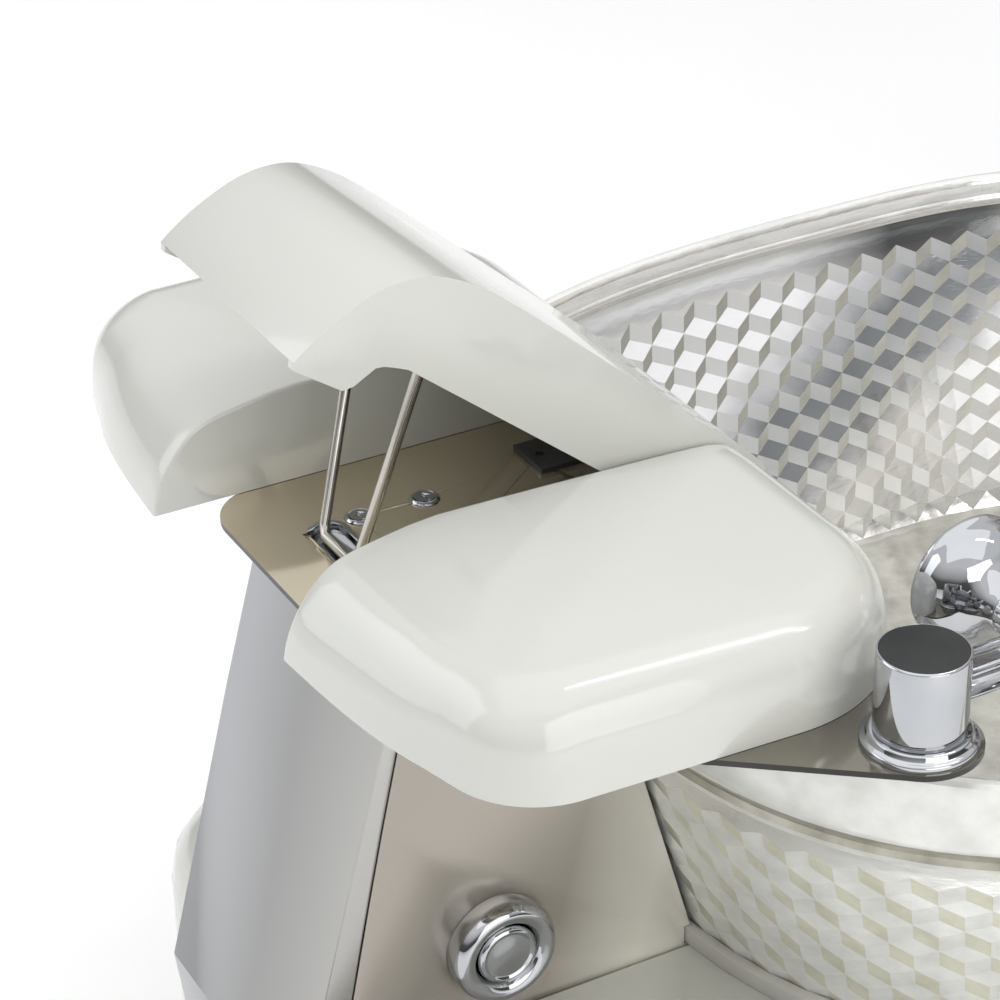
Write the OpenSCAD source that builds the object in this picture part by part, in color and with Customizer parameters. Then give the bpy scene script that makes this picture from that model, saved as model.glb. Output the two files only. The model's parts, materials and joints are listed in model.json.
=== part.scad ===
/* [Deck] */
// Height of the deck plate's top above the floor
deck_z = 520; // [480:5:600]
// Thickness of the deck plate
deck_t = 3; // [2:0.5:5]
// Half width of the deck plate's front edge
deck_half_w = 78; // [76:1:90]
// Depth of the deck plate from front to back
deck_depth = 216; // [200:1:230]
// Corner radius of the deck plate's front
deck_corner_r = 30; // [6:1:31]
// Radius of the lobe that carries the tap
lobe_r = 28.5; // [27:0.5:32]
// Overhang of the deck plate in front of the pedestal
deck_overhang = 38; // [30:1:45]
// Diameter of the deck screws' cup washers
washer_d = 16; // [12:0.5:17]
// Half width of the deck screw pattern
deck_screw_x = 23; // [22:1:30]
// Place of the front and back deck screws
deck_screw_y = [61.5, 97.5];

/* [Footrest] */
// Half width of the gap between the two wings
gap_half_w = 75; // [72:0.5:85]
// Running gap between the centre footrest and each wing
rest_gap = 1.5; // [1:0.25:3]
// Wall of the moulded footrest shells
shell_wall = 5; // [4:0.5:6]
// Height of the wings above the deck plate
wing_h = 54; // [48:1:60]
// Outer half width of the wings
wing_half_w = 246; // [240:1:255]
// How far the wings and the closed footrest stand in front of the deck plate
wing_nose = 27; // [20:1:32]
// Height of the centre footrest's hinge above the deck plate
hinge_h = 21; // [18:0.5:24]
// Distance of the hinge from the deck plate's front edge
hinge_y = 208; // [195:1:212]
// Angle at which the prop holds the centre footrest
raise_angle = 39; // [30:0.5:42]
// Height of the closed centre footrest above the deck plate
rest_h = 51; // [48:1:56]
// Diameter of the footrest hinge pin
hinge_pin_d = 10; // [8:0.5:12]

/* [Prop] */
// Wire diameter of the prop bail
bail_d = 5.6; // [4:0.2:7]
// Half width of the bail's bottom bar
bail_bar_half = 18; // [14:1:22]
// Sideways splay of each bail leg per unit of height
bail_splay = 0.145; // [0.1:0.005:0.2]
// Place of the bail's bottom bar on the deck
bail_foot_y = 39; // [36:1:44]
// Height of the bail's pivot above the deck in the propped state
bail_pivot_z = 119; // [116:1:121]
// Place of the bail's pivot in the propped state
bail_pivot_y = 74; // [72:0.5:78]
// Half length of the cup that seats the bail
cup_half_l = 27; // [25:1:32]
// Width of the cup that seats the bail
cup_w = 18; // [15:1:20]

/* [Pedestal] */
// Half width of the pedestal
ped_half_w = 78; // [74:1:79]
// Sheet thickness of the pedestal panels
panel_t = 1.5; // [1:0.25:2.5]
// How far the pedestal's fold stands in front of the deck plate
ped_nose = 36; // [30:1:42]
// Depth of the pedestal's fold below the deck top
ped_fold = 270; // [240:5:300]
// Diameter of the jet button's bezel
bezel_d = 57.5; // [52:0.5:64]
// Diameter of the jet button
button_d = 33; // [28:1:36]
// Place of the jet button: distance behind the deck front and depth below the deck top
jet_pos = [78.7, 201.8];

/* [Bowl] */
// Half width of the bowl's rim
bowl_half_w = 320; // [300:5:330]
// Distance of the bowl's widest line behind the deck front
bowl_mid_y = 541; // [535:1:545]
// Length of the bowl in front of its widest line
bowl_front = 389; // [385:1:392]
// Length of the bowl behind its widest line
bowl_back = 280; // [260:5:282]
// Depth of the rim's top below the deck top
rim_drop = 57; // [50:1:60]
// Height of the plain rim zone
rim_zone = 47; // [40:1:55]
// Depth of the bowl from its rim to its underside
bowl_depth = 233; // [215:1:240]
// Wall thickness of the bowl
glass_t = 10; // [8:0.5:12]
// Inward slope of the bowl's wall in degrees
bowl_taper = 15.6; // [12:0.1:18]
// Radius of the drain hole in the bowl
drain_r = 24; // [20:1:30]

/* [Base] */
// Half width of the base at its widest
base_half_w = 345; // [340:1:360]
// Half width of the base at its front
base_front_half_w = 205; // [190:5:220]
// Edge radius of the base mouldings
base_edge = 45; // [25:1:50]
// Wall of the base mouldings
base_wall = 6; // [4:0.5:8]
// Depth of the base's top below the deck top
base_drop = 246; // [244:1:250]
// Length of the seat housing behind the bowl
housing_len = 500; // [460:5:540]
// Height of the seat housing
housing_h = 430; // [400:5:450]
// Ground clearance of the base mouldings
skirt_gap = 10; // [6:1:14]
// Side of the chassis tubes
tube_s = 40; // [30:1:45]
// Diameter of the levelling feet
foot_d = 50; // [40:1:60]

/* [Tap] */
// Place of the tap on the deck
tap_pos = [275, 186];
// Diameter of the tap body
tap_d = 42; // [36:0.5:44]
// Height of the tap above the deck
tap_h = 47; // [44:1:60]
// Diameter of the tap's base ring
tap_ring_d = 53; // [50:0.5:53]
// Diameter of the spout arm
arm_d = 22; // [18:0.5:24]
// Height of the spout arm's axis above the deck
arm_z = 26.5; // [25:0.5:30]
// Length of the spout arm from the tap's axis to the elbow
arm_len = 72; // [68:1:84]
// Diameter of the spray head's rim
bell_d = 64; // [50:1:66]
// Length of the spray head
bell_len = 36; // [30:1:40]

/* [Seat] */
// Half width of the seat and back cushions
seat_half_w = 240; // [220:5:245]
// Distance of the seat cushion's front edge behind the deck front
seat_y = 738; // [730:1:745]
// Depth of the seat cushion
seat_len = 465; // [450:5:480]
// Thickness of the seat cushion
seat_t = 120; // [100:5:130]
// Height of the seat base above the seat rails
seat_lift = 50; // [50:1:60]
// Height of the back cushion
back_len = 660; // [600:10:700]
// Thickness of the back cushion
back_t = 90; // [80:5:95]
// Recline of the back at rest, in degrees
back_tilt = 14; // [8:1:20]
// Number of sewn channels across the back cushion
back_channels = 5; // [3:1:7]
// Number of sewn channels across the seat cushion
seat_channels = 3; // [2:1:5]
// Depth of the sewn channels
channel_depth = 7; // [4:1:9]

/* [Arms] */
// Height of the arm beams' top above the floor
arm_top_z = 762; // [740:1:780]
// Gap between the seat cushion and the arm beams
arm_gap = 24; // [22:1:30]
// Width of the arm beams
arm_w = 106; // [100:1:115]
// Length of the arm beams
arm_beam_len = 545; // [520:5:560]
// Thickness of the arm pads
pad_t = 38; // [30:1:45]
// Diameter of the arm pivots
arm_pin_d = 20; // [16:1:24]

/* [Hidden] */
$fn = 48;
// Distance from the deck plate's front edge to the middle of the whole chair
origin_y = 723.6;
// Clearance between bodies that slide past each other
run = 0.05;
seat_gap = 0.3;
white = [0.93, 0.93, 0.90];
steel = [0.72, 0.72, 0.70];
bronze = [0.55, 0.50, 0.42];
chrome_c = [0.85, 0.86, 0.88];
glass_c = [0.85, 0.90, 0.90, 0.5];
dark = [0.12, 0.12, 0.13];
hide = [0.86, 0.83, 0.78];

// Everything in front is laid out from the deck plate's front edge and top face
module deck() translate([0, -origin_y, deck_z]) children();
// Everything behind is laid out from the floor
module floor_place() translate([0, -origin_y, 0]) children();
module flip(near) mirror([near ? 0 : 1, 0, 0]) children();
module box(lo, hi) translate(lo) cube([hi[0] - lo[0], hi[1] - lo[1], hi[2] - lo[2]]);
module rod_x(r, x0, x1) translate([x0, 0, 0]) rotate([0, 90, 0]) cylinder(r = r, h = x1 - x0);
module rod_y(r, y0, y1) translate([0, y0, 0]) rotate([-90, 0, 0]) cylinder(r = r, h = y1 - y0);
// A post with a rounded top edge, for hulls
module post(r, h, edge) for (a = [0:22.5:90])
  cylinder(r = r - edge * (1 - cos(a)), h = h - edge * (1 - sin(a)), $fn = 32);
// A rod with round ends between two points
module wire(a, b, r) {
  v = b - a;
  l = norm(v);
  translate(a) rotate([0, acos(v[2] / l), atan2(v[1], v[0])]) cylinder(r = r, h = l);
  translate(a) sphere(r = r * 1.01);
  translate(b) sphere(r = r * 1.01);
}

// ---------- bowl outline ----------
bowl_n = 2.85;
bowl_pts = 72;
rim_z = -rim_drop;
bowl_floor_z = rim_z - bowl_depth;
band_z = rim_z - rim_zone;
band_in = 5;
function pw(v) = sign(v) * pow(abs(v), 2 / bowl_n);
function bowl_ring(inset) = [for (i = [0:bowl_pts - 1]) let (t = 360 * i / bowl_pts,
  b = sin(t) < 0 ? bowl_front : bowl_back)
  [(bowl_half_w - inset) * pw(cos(t)), bowl_mid_y + (b - inset) * pw(sin(t))]];
// Inset of the outer wall at a depth z below the deck top
function wall_in(z) = band_in + max(0, band_z - z) * tan(bowl_taper);
foot_in = wall_in(bowl_floor_z + 22);
bowl_prof = [[foot_in + 34, bowl_floor_z], [foot_in + 14, bowl_floor_z + 5],
  [foot_in + 4, bowl_floor_z + 12], [foot_in, bowl_floor_z + 22], [band_in, band_z],
  [band_in - 3, band_z + 3], [0, band_z + 8], [0, rim_z - 3], [1, rim_z - 1], [3, rim_z],
  [glass_t, rim_z], [glass_t + 2, rim_z - 2], [band_in + glass_t, band_z],
  [wall_in(bowl_floor_z + 34) + glass_t, bowl_floor_z + 34], [foot_in + glass_t + 6, bowl_floor_z + 22],
  [foot_in + glass_t + 26, bowl_floor_z + 12]];
module lofted(rings, count) {
  n = len(rings);
  points = [for (r = rings) for (p = r) p];
  side = [for (k = [0:n - 2]) for (i = [0:count - 1]) let (j = (i + 1) % count)
    each [[k * count + i, (k + 1) * count + i, (k + 1) * count + j],
      [k * count + i, (k + 1) * count + j, k * count + j]]];
  first = [for (i = [0:count - 1]) i];
  last = [for (i = [count - 1:-1:0]) (n - 1) * count + i];
  polyhedron(points, concat([first], side, [last]), convexity = 8);
}
module bowl() color(glass_c) deck() difference() {
  lofted([for (p = bowl_prof) [for (q = bowl_ring(p[0])) [q[0], q[1], p[1]]]], bowl_pts);
  translate([0, drain_y, bowl_floor_z - 5]) cylinder(r = drain_r, h = 40);
  jet_place() rod_y(jet_shaft_r + 1, -40, 60);
}
drain_y = bowl_mid_y - 20;
jet_unit_z = -185;
jet_shaft_r = 20;
jet_wall_y = bowl_mid_y + bowl_back - wall_in(jet_unit_z);
module jet_place() translate([0, jet_wall_y, jet_unit_z]) rotate([-bowl_taper, 0, 0]) children();

// ---------- base and seat housing ----------
base_top = deck_z - base_drop;
split_y = bowl_mid_y + bowl_back + 5;
base_front_r = 60;
module base_form(grow, top) hull() for (s = [-1, 1]) {
  translate([s * (base_front_half_w - base_front_r), base_front_r - 5, 0])
    post(base_front_r - grow, top, base_edge - grow);
  translate([s * (base_half_w - 120), 330, 0]) post(120 - grow, top, base_edge - grow);
  translate([s * (base_half_w - 75), split_y - 76, 0]) post(75 - grow, top, base_edge - grow);
}
module bowl_column(inset, z0, z1) translate([0, 0, z0]) linear_extrude(z1 - z0)
  polygon(bowl_ring(inset));
seal_in = wall_in(-base_drop + 10) - 0.4;
ped_clear = 1;
module base_shell() color(white) floor_place() difference() {
  translate([0, 0, skirt_gap]) base_form(0, base_top - skirt_gap);
  translate([0, 0, skirt_gap - 1]) base_form(base_wall, base_top - skirt_gap - base_wall + 1);
  bowl_column(seal_in, base_top - 2 * base_wall - 40, base_top + 10);
  box([-ped_half_w - ped_clear, -60, 0], [ped_half_w + ped_clear, ped_back + 6, deck_z]);
  service_way(split_y - 20, split_y + 10);
}
// Opening that the chassis and the pipes pass through from the base into the housing
module service_way(y0, y1) box([-service_half_w, y0, 0], [service_half_w, y1, service_top]);
service_half_w = 225;
service_top = 150;
housing_half_w = base_half_w - 45;
module housing_form(grow, top) hull() for (s = [-1, 1]) {
  translate([s * (housing_half_w - 40), split_y + 40, 0]) post(40 - grow, top, 30 - grow);
  translate([s * (housing_half_w - 90), split_y + housing_len - 90, 0])
    post(90 - grow, top, 30 - grow);
}
panel_half_w = 150;
panel_z = [140, 350];
panel_clear = 0.5;
module seat_housing() color(white) floor_place() difference() {
  translate([0, 0, skirt_gap]) housing_form(0, housing_h - skirt_gap);
  translate([0, 0, skirt_gap - 1]) housing_form(base_wall, housing_h - skirt_gap - base_wall + 1);
  translate([0, 0, deck_z]) jet_place() rod_y(jet_motor_r + 3, 0, 90);
  service_way(split_y - 10, split_y + 20);
  box([-panel_half_w, housing_back - 20, panel_z[0]], [panel_half_w, housing_back + 20, panel_z[1]]);
  for (x = inlet_x) translate([x, 0, inlet_z]) rod_y(inlet_r + 0.6, housing_back - 20, housing_back + 9);
  translate([0, 0, drain_pipe_z]) rod_y(pipe_r + 1, housing_back - 20, housing_back + 9);
}
housing_back = split_y + housing_len;
jet_motor_r = 38;
module service_panel() color(white) floor_place() {
  box([-panel_half_w + panel_clear, housing_back - base_wall, panel_z[0] + panel_clear],
    [panel_half_w - panel_clear, housing_back, panel_z[1] - panel_clear]);
  for (z = [0:6]) box([-100, housing_back, panel_z[0] + 50 + z * 20],
    [100, housing_back + 3, panel_z[0] + 56 + z * 20]);
}

// ---------- chassis ----------
rail_x = 180;
front_cross_y = 95;
foot_h = 20;
chassis_y = [front_cross_y, 330, 660, 900, split_y + housing_len - 60];
upright_y = [900, split_y + housing_len - 60];
cradle_y = [bowl_mid_y - 150, bowl_mid_y + 60];
module chassis_frame() color("dimgray") floor_place() difference() {
  union() {
    for (s = [-1, 1]) box([s * rail_x - tube_s / 2, front_cross_y - tube_s / 2, foot_h],
      [s * rail_x + tube_s / 2, housing_back - 40, foot_h + tube_s]);
    for (y = chassis_y) box([-rail_x, y - tube_s / 2, foot_h], [rail_x, y + tube_s / 2, foot_h + tube_s]);
    for (y = cradle_y) {
      for (s = [-110, 110])
        box([s - 15, y - 15, foot_h], [s + 15, y + 15, deck_z + bowl_floor_z - 10]);
      box([-rail_x, y - 15, foot_h], [rail_x, y + 15, foot_h + tube_s]);
      box([-150, y - 15, deck_z + bowl_floor_z - 10], [150, y + 15, deck_z + bowl_floor_z]);
    }
    for (s = [-1, 1]) for (y = upright_y) box([s * rail_x - tube_s / 2, y - tube_s / 2, foot_h],
      [s * rail_x + tube_s / 2, y + tube_s / 2, housing_h - base_wall]);
  }
}
feet_y = [front_cross_y, 660, housing_back - 70];
module levelling_feet() color(dark) floor_place() for (s = [-1, 1]) for (y = feet_y)
  translate([s * rail_x, y, 0]) {
    cylinder(r = foot_d / 2, h = 8);
    translate([0, 0, 8]) cylinder(r = foot_d / 2 - 8, h = 4);
    translate([0, 0, 12]) cylinder(r = 6, h = foot_h - 12);
  }

// ---------- pedestal ----------
ped_back = 210;
ped_toe_z = -deck_z + 14;
function ped_front(z) = z > -ped_fold
  ? deck_overhang - (deck_overhang + ped_nose) * pow(-(z + deck_t) / (ped_fold - deck_t), 0.93)
  : -ped_nose + (-ped_fold - z) * 0.12;
ped_steps = [-deck_t - 1.6, -40, -75, -110, -150, -190, -230, -ped_fold, -330, -400, ped_toe_z];
function ped_line(inset) = [for (z = ped_steps) [ped_front(z) + inset, z]];
function reverse(v) = [for (i = [len(v) - 1:-1:0]) v[i]];
// Depth of the front panel's returns on the pedestal's sides
function seam(z) = 6 + 14 * min(1, -z / ped_fold);
function seam_line(extra) = [for (z = ped_steps) [ped_front(z) + seam(z) + extra, z]];
module side_profile(points, x0, x1) translate([x0, 0, 0]) rotate([90, 0, 90])
  linear_extrude(x1 - x0) polygon(points);
module pedestal_front_panel() color(steel) deck() {
  side_profile(concat(ped_line(0), reverse(ped_line(panel_t))), -ped_half_w, ped_half_w);
  for (s = [0, 1]) mirror([s, 0, 0]) side_profile(concat(ped_line(panel_t), reverse(seam_line(0))),
    ped_half_w - panel_t, ped_half_w);
}
ped_bowl_y = bowl_mid_y - bowl_front;
ped_low_y = ped_bowl_y + wall_in(bowl_floor_z);
bowl_line = [[ped_bowl_y, -deck_t - 0.2], [ped_bowl_y, band_z + 8], [ped_bowl_y + band_in, band_z],
  [ped_low_y, bowl_floor_z], [ped_low_y, ped_toe_z]];
module pedestal_side() difference() {
  side_profile(concat(seam_line(0.8), reverse(bowl_line)), ped_half_w - panel_t, ped_half_w);
  box([ped_half_w - 10, front_cross_y - tube_s / 2 - 1, ped_toe_z - 10],
    [ped_half_w + 10, front_cross_y + tube_s / 2 + 1, -deck_z + foot_h + tube_s + 1]);
  bowl_column(seal_in - seal_w - 0.6, -base_drop - 0.6, -base_drop + seal_h + 0.6);
  children();
}
module pedestal_side_near() color(steel) deck() pedestal_side()
  translate([0, jet_pos[0], -jet_pos[1]]) rod_x(jet_bore_r, ped_half_w - 10, ped_half_w + 10);
module pedestal_side_far() color(steel) deck() mirror([1, 0, 0]) pedestal_side();
post_x = 50;
// Inner post: two side cheeks, a top tray under the deck and a foot on the chassis
module pedestal_post() color("dimgray") deck() difference() {
  union() {
    for (s = [-post_x, post_x]) box([s - 3, 48, -deck_z + foot_h + tube_s], [s + 3, 122, -deck_t - 4]);
    box([-post_x - 22, 45, -deck_t - 4], [post_x + 22, 128, -deck_t]);
    box([-post_x - 3, 50, -deck_z + foot_h + tube_s], [post_x + 3, 54, -deck_t - 40]);
    box([-post_x - 20, front_cross_y - 19, -deck_z + foot_h + tube_s],
      [post_x + 20, front_cross_y + 19, -deck_z + foot_h + tube_s + 4]);
  }
  translate([0, jet_pos[0], -jet_pos[1]]) rod_x(jet_bore_r + 1, 10, 90);
  for (x = [-1, 1]) for (y = deck_screw_y) translate([x * deck_screw_x, y, -60])
    cylinder(r = screw_r, h = 100);
  translate([-cup_half_l - 3, bail_foot_y - cup_w, -30]) cube([2 * cup_half_l + 6, 2 * cup_w + 6, 60]);
}
screw_r = 2.5;

// ---------- deck ----------
lobe = [tap_pos[0] - 0.5, tap_pos[1] + 0.5];
// Outline of one half of the plate, which reaches under the wing
plate_half = [[deck_half_w, deck_corner_r], [deck_half_w, 31], [205, 42], [236, 92], [232, 176],
  [195, deck_depth - 4], [deck_half_w, deck_depth]];
module deck_outline() {
  flat = deck_half_w - deck_corner_r;
  for (s = [-1, 1]) translate([s * flat, deck_corner_r]) circle(r = deck_corner_r);
  translate([-flat, 0]) square([2 * flat, 2 * deck_corner_r]);
  polygon(concat(plate_half, [for (p = reverse(plate_half)) [-p[0], p[1]]]));
  translate(lobe) circle(r = lobe_r);
  polygon([[236, 92], lobe + lobe_r * [cos(-32), sin(-32)], lobe + lobe_r * [cos(95), sin(95)],
    [190, deck_depth - 2], [200, 120]]);
}
module cup_slot(grow, z0, z1) {
  half = cup_half_l - cup_w / 2;
  translate([0, bail_foot_y + 3, z0]) {
    for (s = [-1, 1]) translate([s * half, 0, 0]) cylinder(r = cup_w / 2 + grow, h = z1 - z0);
    translate([-half, -cup_w / 2 - grow, 0]) cube([2 * half, cup_w + 2 * grow, z1 - z0]);
  }
}
tap_shank_r = 14;
module deck_plate() color(bronze) deck() difference() {
  translate([0, 0, -deck_t]) linear_extrude(deck_t) deck_outline();
  cup_slot(0, -20, 20);
  for (x = [-1, 1]) for (y = deck_screw_y) translate([x * deck_screw_x, y, -20])
    cylinder(r = screw_r, h = 40);
  for (x = bracket_x) for (y = bracket_screw_y) translate([x, y, -20]) cylinder(r = screw_r, h = 40);
  bail_relief();
  translate([tap_pos[0], tap_pos[1], -20]) cylinder(r = tap_shank_r, h = 40);
}
washer_h = 1.7;
module deck_screws() color(chrome_c) deck() for (x = [-1, 1]) for (y = deck_screw_y)
  translate([x * deck_screw_x, y, 0]) difference() {
    union() {
      translate([0, 0, 0.4]) cylinder(r1 = screw_r + 0.3, r2 = washer_d / 2 - 2.6, h = 1.4);
      translate([0, 0, -14]) cylinder(r = screw_r - 0.1, h = 15);
    }
    for (a = [0, 90]) rotate([0, 0, a]) translate([-3, -0.5, 0.9]) cube([6, 1, 2]);
  }
module deck_cup_washers() color(chrome_c) deck() for (x = [-1, 1]) for (y = deck_screw_y)
  translate([x * deck_screw_x, y, 0]) rotate_extrude() polygon([[screw_r + 0.8, 0], [washer_d / 2, 0],
    [washer_d / 2 - 0.4, 0.9], [washer_d / 2 - 1.3, washer_h], [washer_d / 2 - 2.1, washer_h],
    [screw_r + 0.8, 0.3]]);
cup_depth = 4.2;
cup_floor_t = 1.2;
bail_r = bail_d / 2;
bail_foot = [0, bail_foot_y, -cup_depth + cup_floor_t + seat_gap + bail_r];
module prop_seat_cup() color(chrome_c) deck() difference() {
  union() {
    cup_slot(-0.2, -cup_depth, 0);
    cup_slot(1.6, 0, 0.8);
  }
  cup_slot(-1.4, -cup_depth + cup_floor_t, 5);
  bail_relief();
}
// The cup's front is cut along the path of the bail's foot, so the bail can swing out of it
bail_reach = norm([bail_pivot_y - bail_foot[1], bail_pivot_z - bail_foot[2]]) + bail_r + seat_gap;
module bail_relief() intersection() {
  translate([0, bail_pivot_y, bail_pivot_z]) rotate([0, 90, 0])
    cylinder(r = bail_reach, h = 2 * bail_bar_half + 9, center = true, $fn = 240);
  box([-40, 20, -10], [40, bail_foot_y, 10]);
}

// ---------- footrest wings ----------
wing_front = -wing_nose;
wing_back = 230;
wing_in = gap_half_w;
wing_layers = [[0.3, 0], [13, 0.7], [27, 2.8], [37, 6.5], [44.5, 12], [wing_h - 4.5, 19], [wing_h - 1.5, 28],
  [wing_h, 46]];
// Plan of a wing drawn in by d all round but on its inner side
module wing_plan(d) hull() {
  translate([wing_in, wing_front + d]) square([1, wing_back - wing_front - 1.4 * d]);
  translate([wing_half_w - 51, 39]) circle(r = max(3, 46 - d), $fn = 28);
  translate([wing_half_w - 83, wing_back - 82]) circle(r = max(3, 82 - d), $fn = 36);
  translate([wing_in + 60, wing_front + 7 + d]) square([36, 1]);
}
module wing_form(d, drop, inner) hull() for (l = wing_layers)
  translate([inner, 0, l[0] - drop]) linear_extrude(0.2) wing_plan(l[1] + d);
module wing(near) color(white) deck() flip(near) {
  difference() {
    wing_form(0, 0, 0);
    wing_form(shell_wall, shell_wall, shell_wall);
  }
  for (p = [[110, 60], [200, 60], [110, 190], [200, 165]]) translate([p[0], p[1], 0.3])
    cylinder(r = 7, h = wing_h - 3);
}
module footrest_wing_near() wing(true);
module footrest_wing_far() wing(false);

// ---------- centre footrest ----------
rest_half = gap_half_w - rest_gap;
rest_back = hinge_y + 24;
// Outer outline of the closed footrest, seen from the side
rest_out = [[-12, -20], [-40, -22], [-42, -19], [-40.5, -12], [-37, 0], [-31.5, 13], [-25, 25],
  [-16, 35.5], [-5, 43.5], [8, rest_h - 3], [24, rest_h - 0.4], [42, rest_h],
  [90, rest_h - 1.5], [150, rest_h - 4],
  [rest_back - 14, rest_h - 7], [rest_back - 4, rest_h - 10], [rest_back, rest_h - 15],
  [rest_back, hinge_h - 4], [rest_back - 10, 7], [hinge_y - 25, 2.2], [13, 2.2], [7, 0.6], [0.5, -1.6],
  [-3, -4], [-8, -16]];
rest_in = [[-13, -26], [-36.5, -26], [-35, -12], [-32, 0], [-27, 11], [-21, 22], [-12.5, 31.5], [-2, 39],
  [10, rest_h - 8], [26, rest_h - 5.4], [42, rest_h - 5], [90, rest_h - 6.5], [150, rest_h - 9],
  [rest_back - 14, rest_h - 12], [rest_back - 5, rest_h - 20], [rest_back + 9, hinge_h - 10],
  [rest_back, -20], [-5, -20]];
// The prop holds the footrest up about its hinge
module raised() translate([0, hinge_y, hinge_h]) rotate([-raise_angle, 0, 0])
  translate([0, -hinge_y, -hinge_h]) children();
module footrest_center() color(white) deck() raised() difference() {
  union() {
    difference() {
      side_profile(rest_out, -rest_half, rest_half);
      side_profile(rest_in, -rest_half + shell_wall, rest_half - shell_wall);
    }
    for (s = [-1, 1]) translate([0, hinge_y, hinge_h]) rod_x(11, s > 0 ? rest_half - 16 : -rest_half + 2,
      s > 0 ? rest_half - 2 : -rest_half + 16);
  }
  translate([0, hinge_y, hinge_h]) rod_x(hinge_pin_d / 2 + run, -rest_half - 5, rest_half + 5);
}
// Bracket on the deck: two ears that carry the hinge pin
bracket_x = [-30, 30];
bracket_screw_y = [hinge_y - 40, hinge_y - 24];
ear_half = 8;
module hinge_bracket() color(dark) deck() for (x = bracket_x) difference() {
  union() {
    box([x - 15, hinge_y - 48, 0], [x + 15, deck_depth - 1, 3]);
    box([x - ear_half, hinge_y - 12, 0], [x + ear_half, hinge_y + 7, hinge_h]);
    translate([0, hinge_y, hinge_h]) rod_x(10, x - ear_half, x + ear_half);
  }
  translate([0, hinge_y, hinge_h]) rod_x(hinge_pin_d / 2, x - 20, x + 20);
  for (y = bracket_screw_y) translate([x, y, -5]) cylinder(r = screw_r, h = 20);
}
module hinge_pin() color(chrome_c) deck() translate([0, hinge_y, hinge_h])
  rod_x(hinge_pin_d / 2, -rest_half + 1, rest_half - 1);
// Steel stiffener under the footrest that turns on the pin
module hinge_knuckles() color(dark) deck() raised() for (s = [-1, 1]) difference() {
  union() {
    translate([0, hinge_y, hinge_h]) rod_x(9, s * 50 - 5, s * 50 + 5);
    box([s * 50 - 5, hinge_y - 60, hinge_h - 2], [s * 50 + 5, hinge_y, rest_h - 11.8]);
  }
  translate([0, hinge_y, hinge_h]) rod_x(hinge_pin_d / 2 + run, -100, 100);
}

// ---------- prop ----------
bail_top_half = bail_bar_half + bail_splay * (bail_pivot_z - bail_foot[2]);
clip_w = 9;
function leg(s, t) = [s * (bail_bar_half + (bail_top_half - bail_bar_half) * t),
  bail_foot[1] + (bail_pivot_y - bail_foot[1]) * t, bail_foot[2] + (bail_pivot_z - bail_foot[2]) * t];
module prop_bail() color(steel) deck() {
  end = [bail_bar_half - 3, 0, 0];
  wire(bail_foot - end, bail_foot + end, bail_r);
  for (s = [-1, 1]) {
    wire(bail_foot + s * end, leg(s, 0.04), bail_r);
    wire(leg(s, 0.04), leg(s, 1), bail_r);
    wire(leg(s, 1), leg(s, 1) + [s * (clip_w + 3), 0, 0], bail_r);
  }
}
// Eyes under the footrest that the bail's bent ends turn in
module prop_clips() color(dark) deck() for (s = [-1, 1]) {
  x0 = s * (bail_top_half + bail_r + 1.6);
  x1 = x0 + s * clip_w;
  difference() {
    union() {
      translate([0, bail_pivot_y, bail_pivot_z]) rod_x(7, min(x0, x1), max(x0, x1));
      raised() clip_web(min(x0, x1), max(x0, x1));
    }
    translate([0, bail_pivot_y, bail_pivot_z]) rod_x(bail_r + run, -90, 90);
  }
}
// Place of the bail's pivot in the closed footrest
piv_dy = bail_pivot_y - hinge_y;
piv_dz = bail_pivot_z - hinge_h;
piv_closed = [hinge_y + piv_dy * cos(raise_angle) - piv_dz * sin(raise_angle),
  hinge_h + piv_dy * sin(raise_angle) + piv_dz * cos(raise_angle)];
module clip_web(x0, x1) box([x0, piv_closed[0] - 5.5, piv_closed[1] + 3.5],
  [x1, piv_closed[0] + 5.5, rest_h - 5.6]);

// ---------- jet button ----------
jet_bore_r = 24;
jet_travel = 2;
bezel_h = 15;
module jet_axis() deck() translate([ped_half_w, jet_pos[0], -jet_pos[1]]) rotate([0, 90, 0]) children();
module jet_bezel() color(chrome_c) jet_axis() rotate_extrude() polygon([[button_d / 2 + 0.4, -16],
  [jet_bore_r - 0.2, -16], [jet_bore_r - 0.2, 0], [bezel_d / 2, 0], [bezel_d / 2, bezel_h - 6],
  [bezel_d / 2 - 0.8, bezel_h - 3.8], [bezel_d / 2 - 2.2, bezel_h - 1.8], [bezel_d / 2 - 4.2, bezel_h - 0.5],
  [bezel_d / 2 - 6, bezel_h - 0.4], [button_d / 2 + 2.5, bezel_h - 2], [button_d / 2 + 0.4, bezel_h - 4.5]]);
module jet_button() color(chrome_c) jet_axis() rotate_extrude() polygon([[0, -4], [button_d / 2, -4],
  [button_d / 2, bezel_h - 3.4], [button_d / 2 - 0.9, bezel_h - 2], [button_d / 2 - 2.4, bezel_h - 1.2],
  [button_d / 2 - 3.4, bezel_h - 1.8], [button_d / 2 - 4.2, bezel_h - 2.2], [0, bezel_h - 1.2]]);
spring_turns = 5;
spring_r = 9;
spring_wire = 0.9;
spring_steps = 12;
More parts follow.
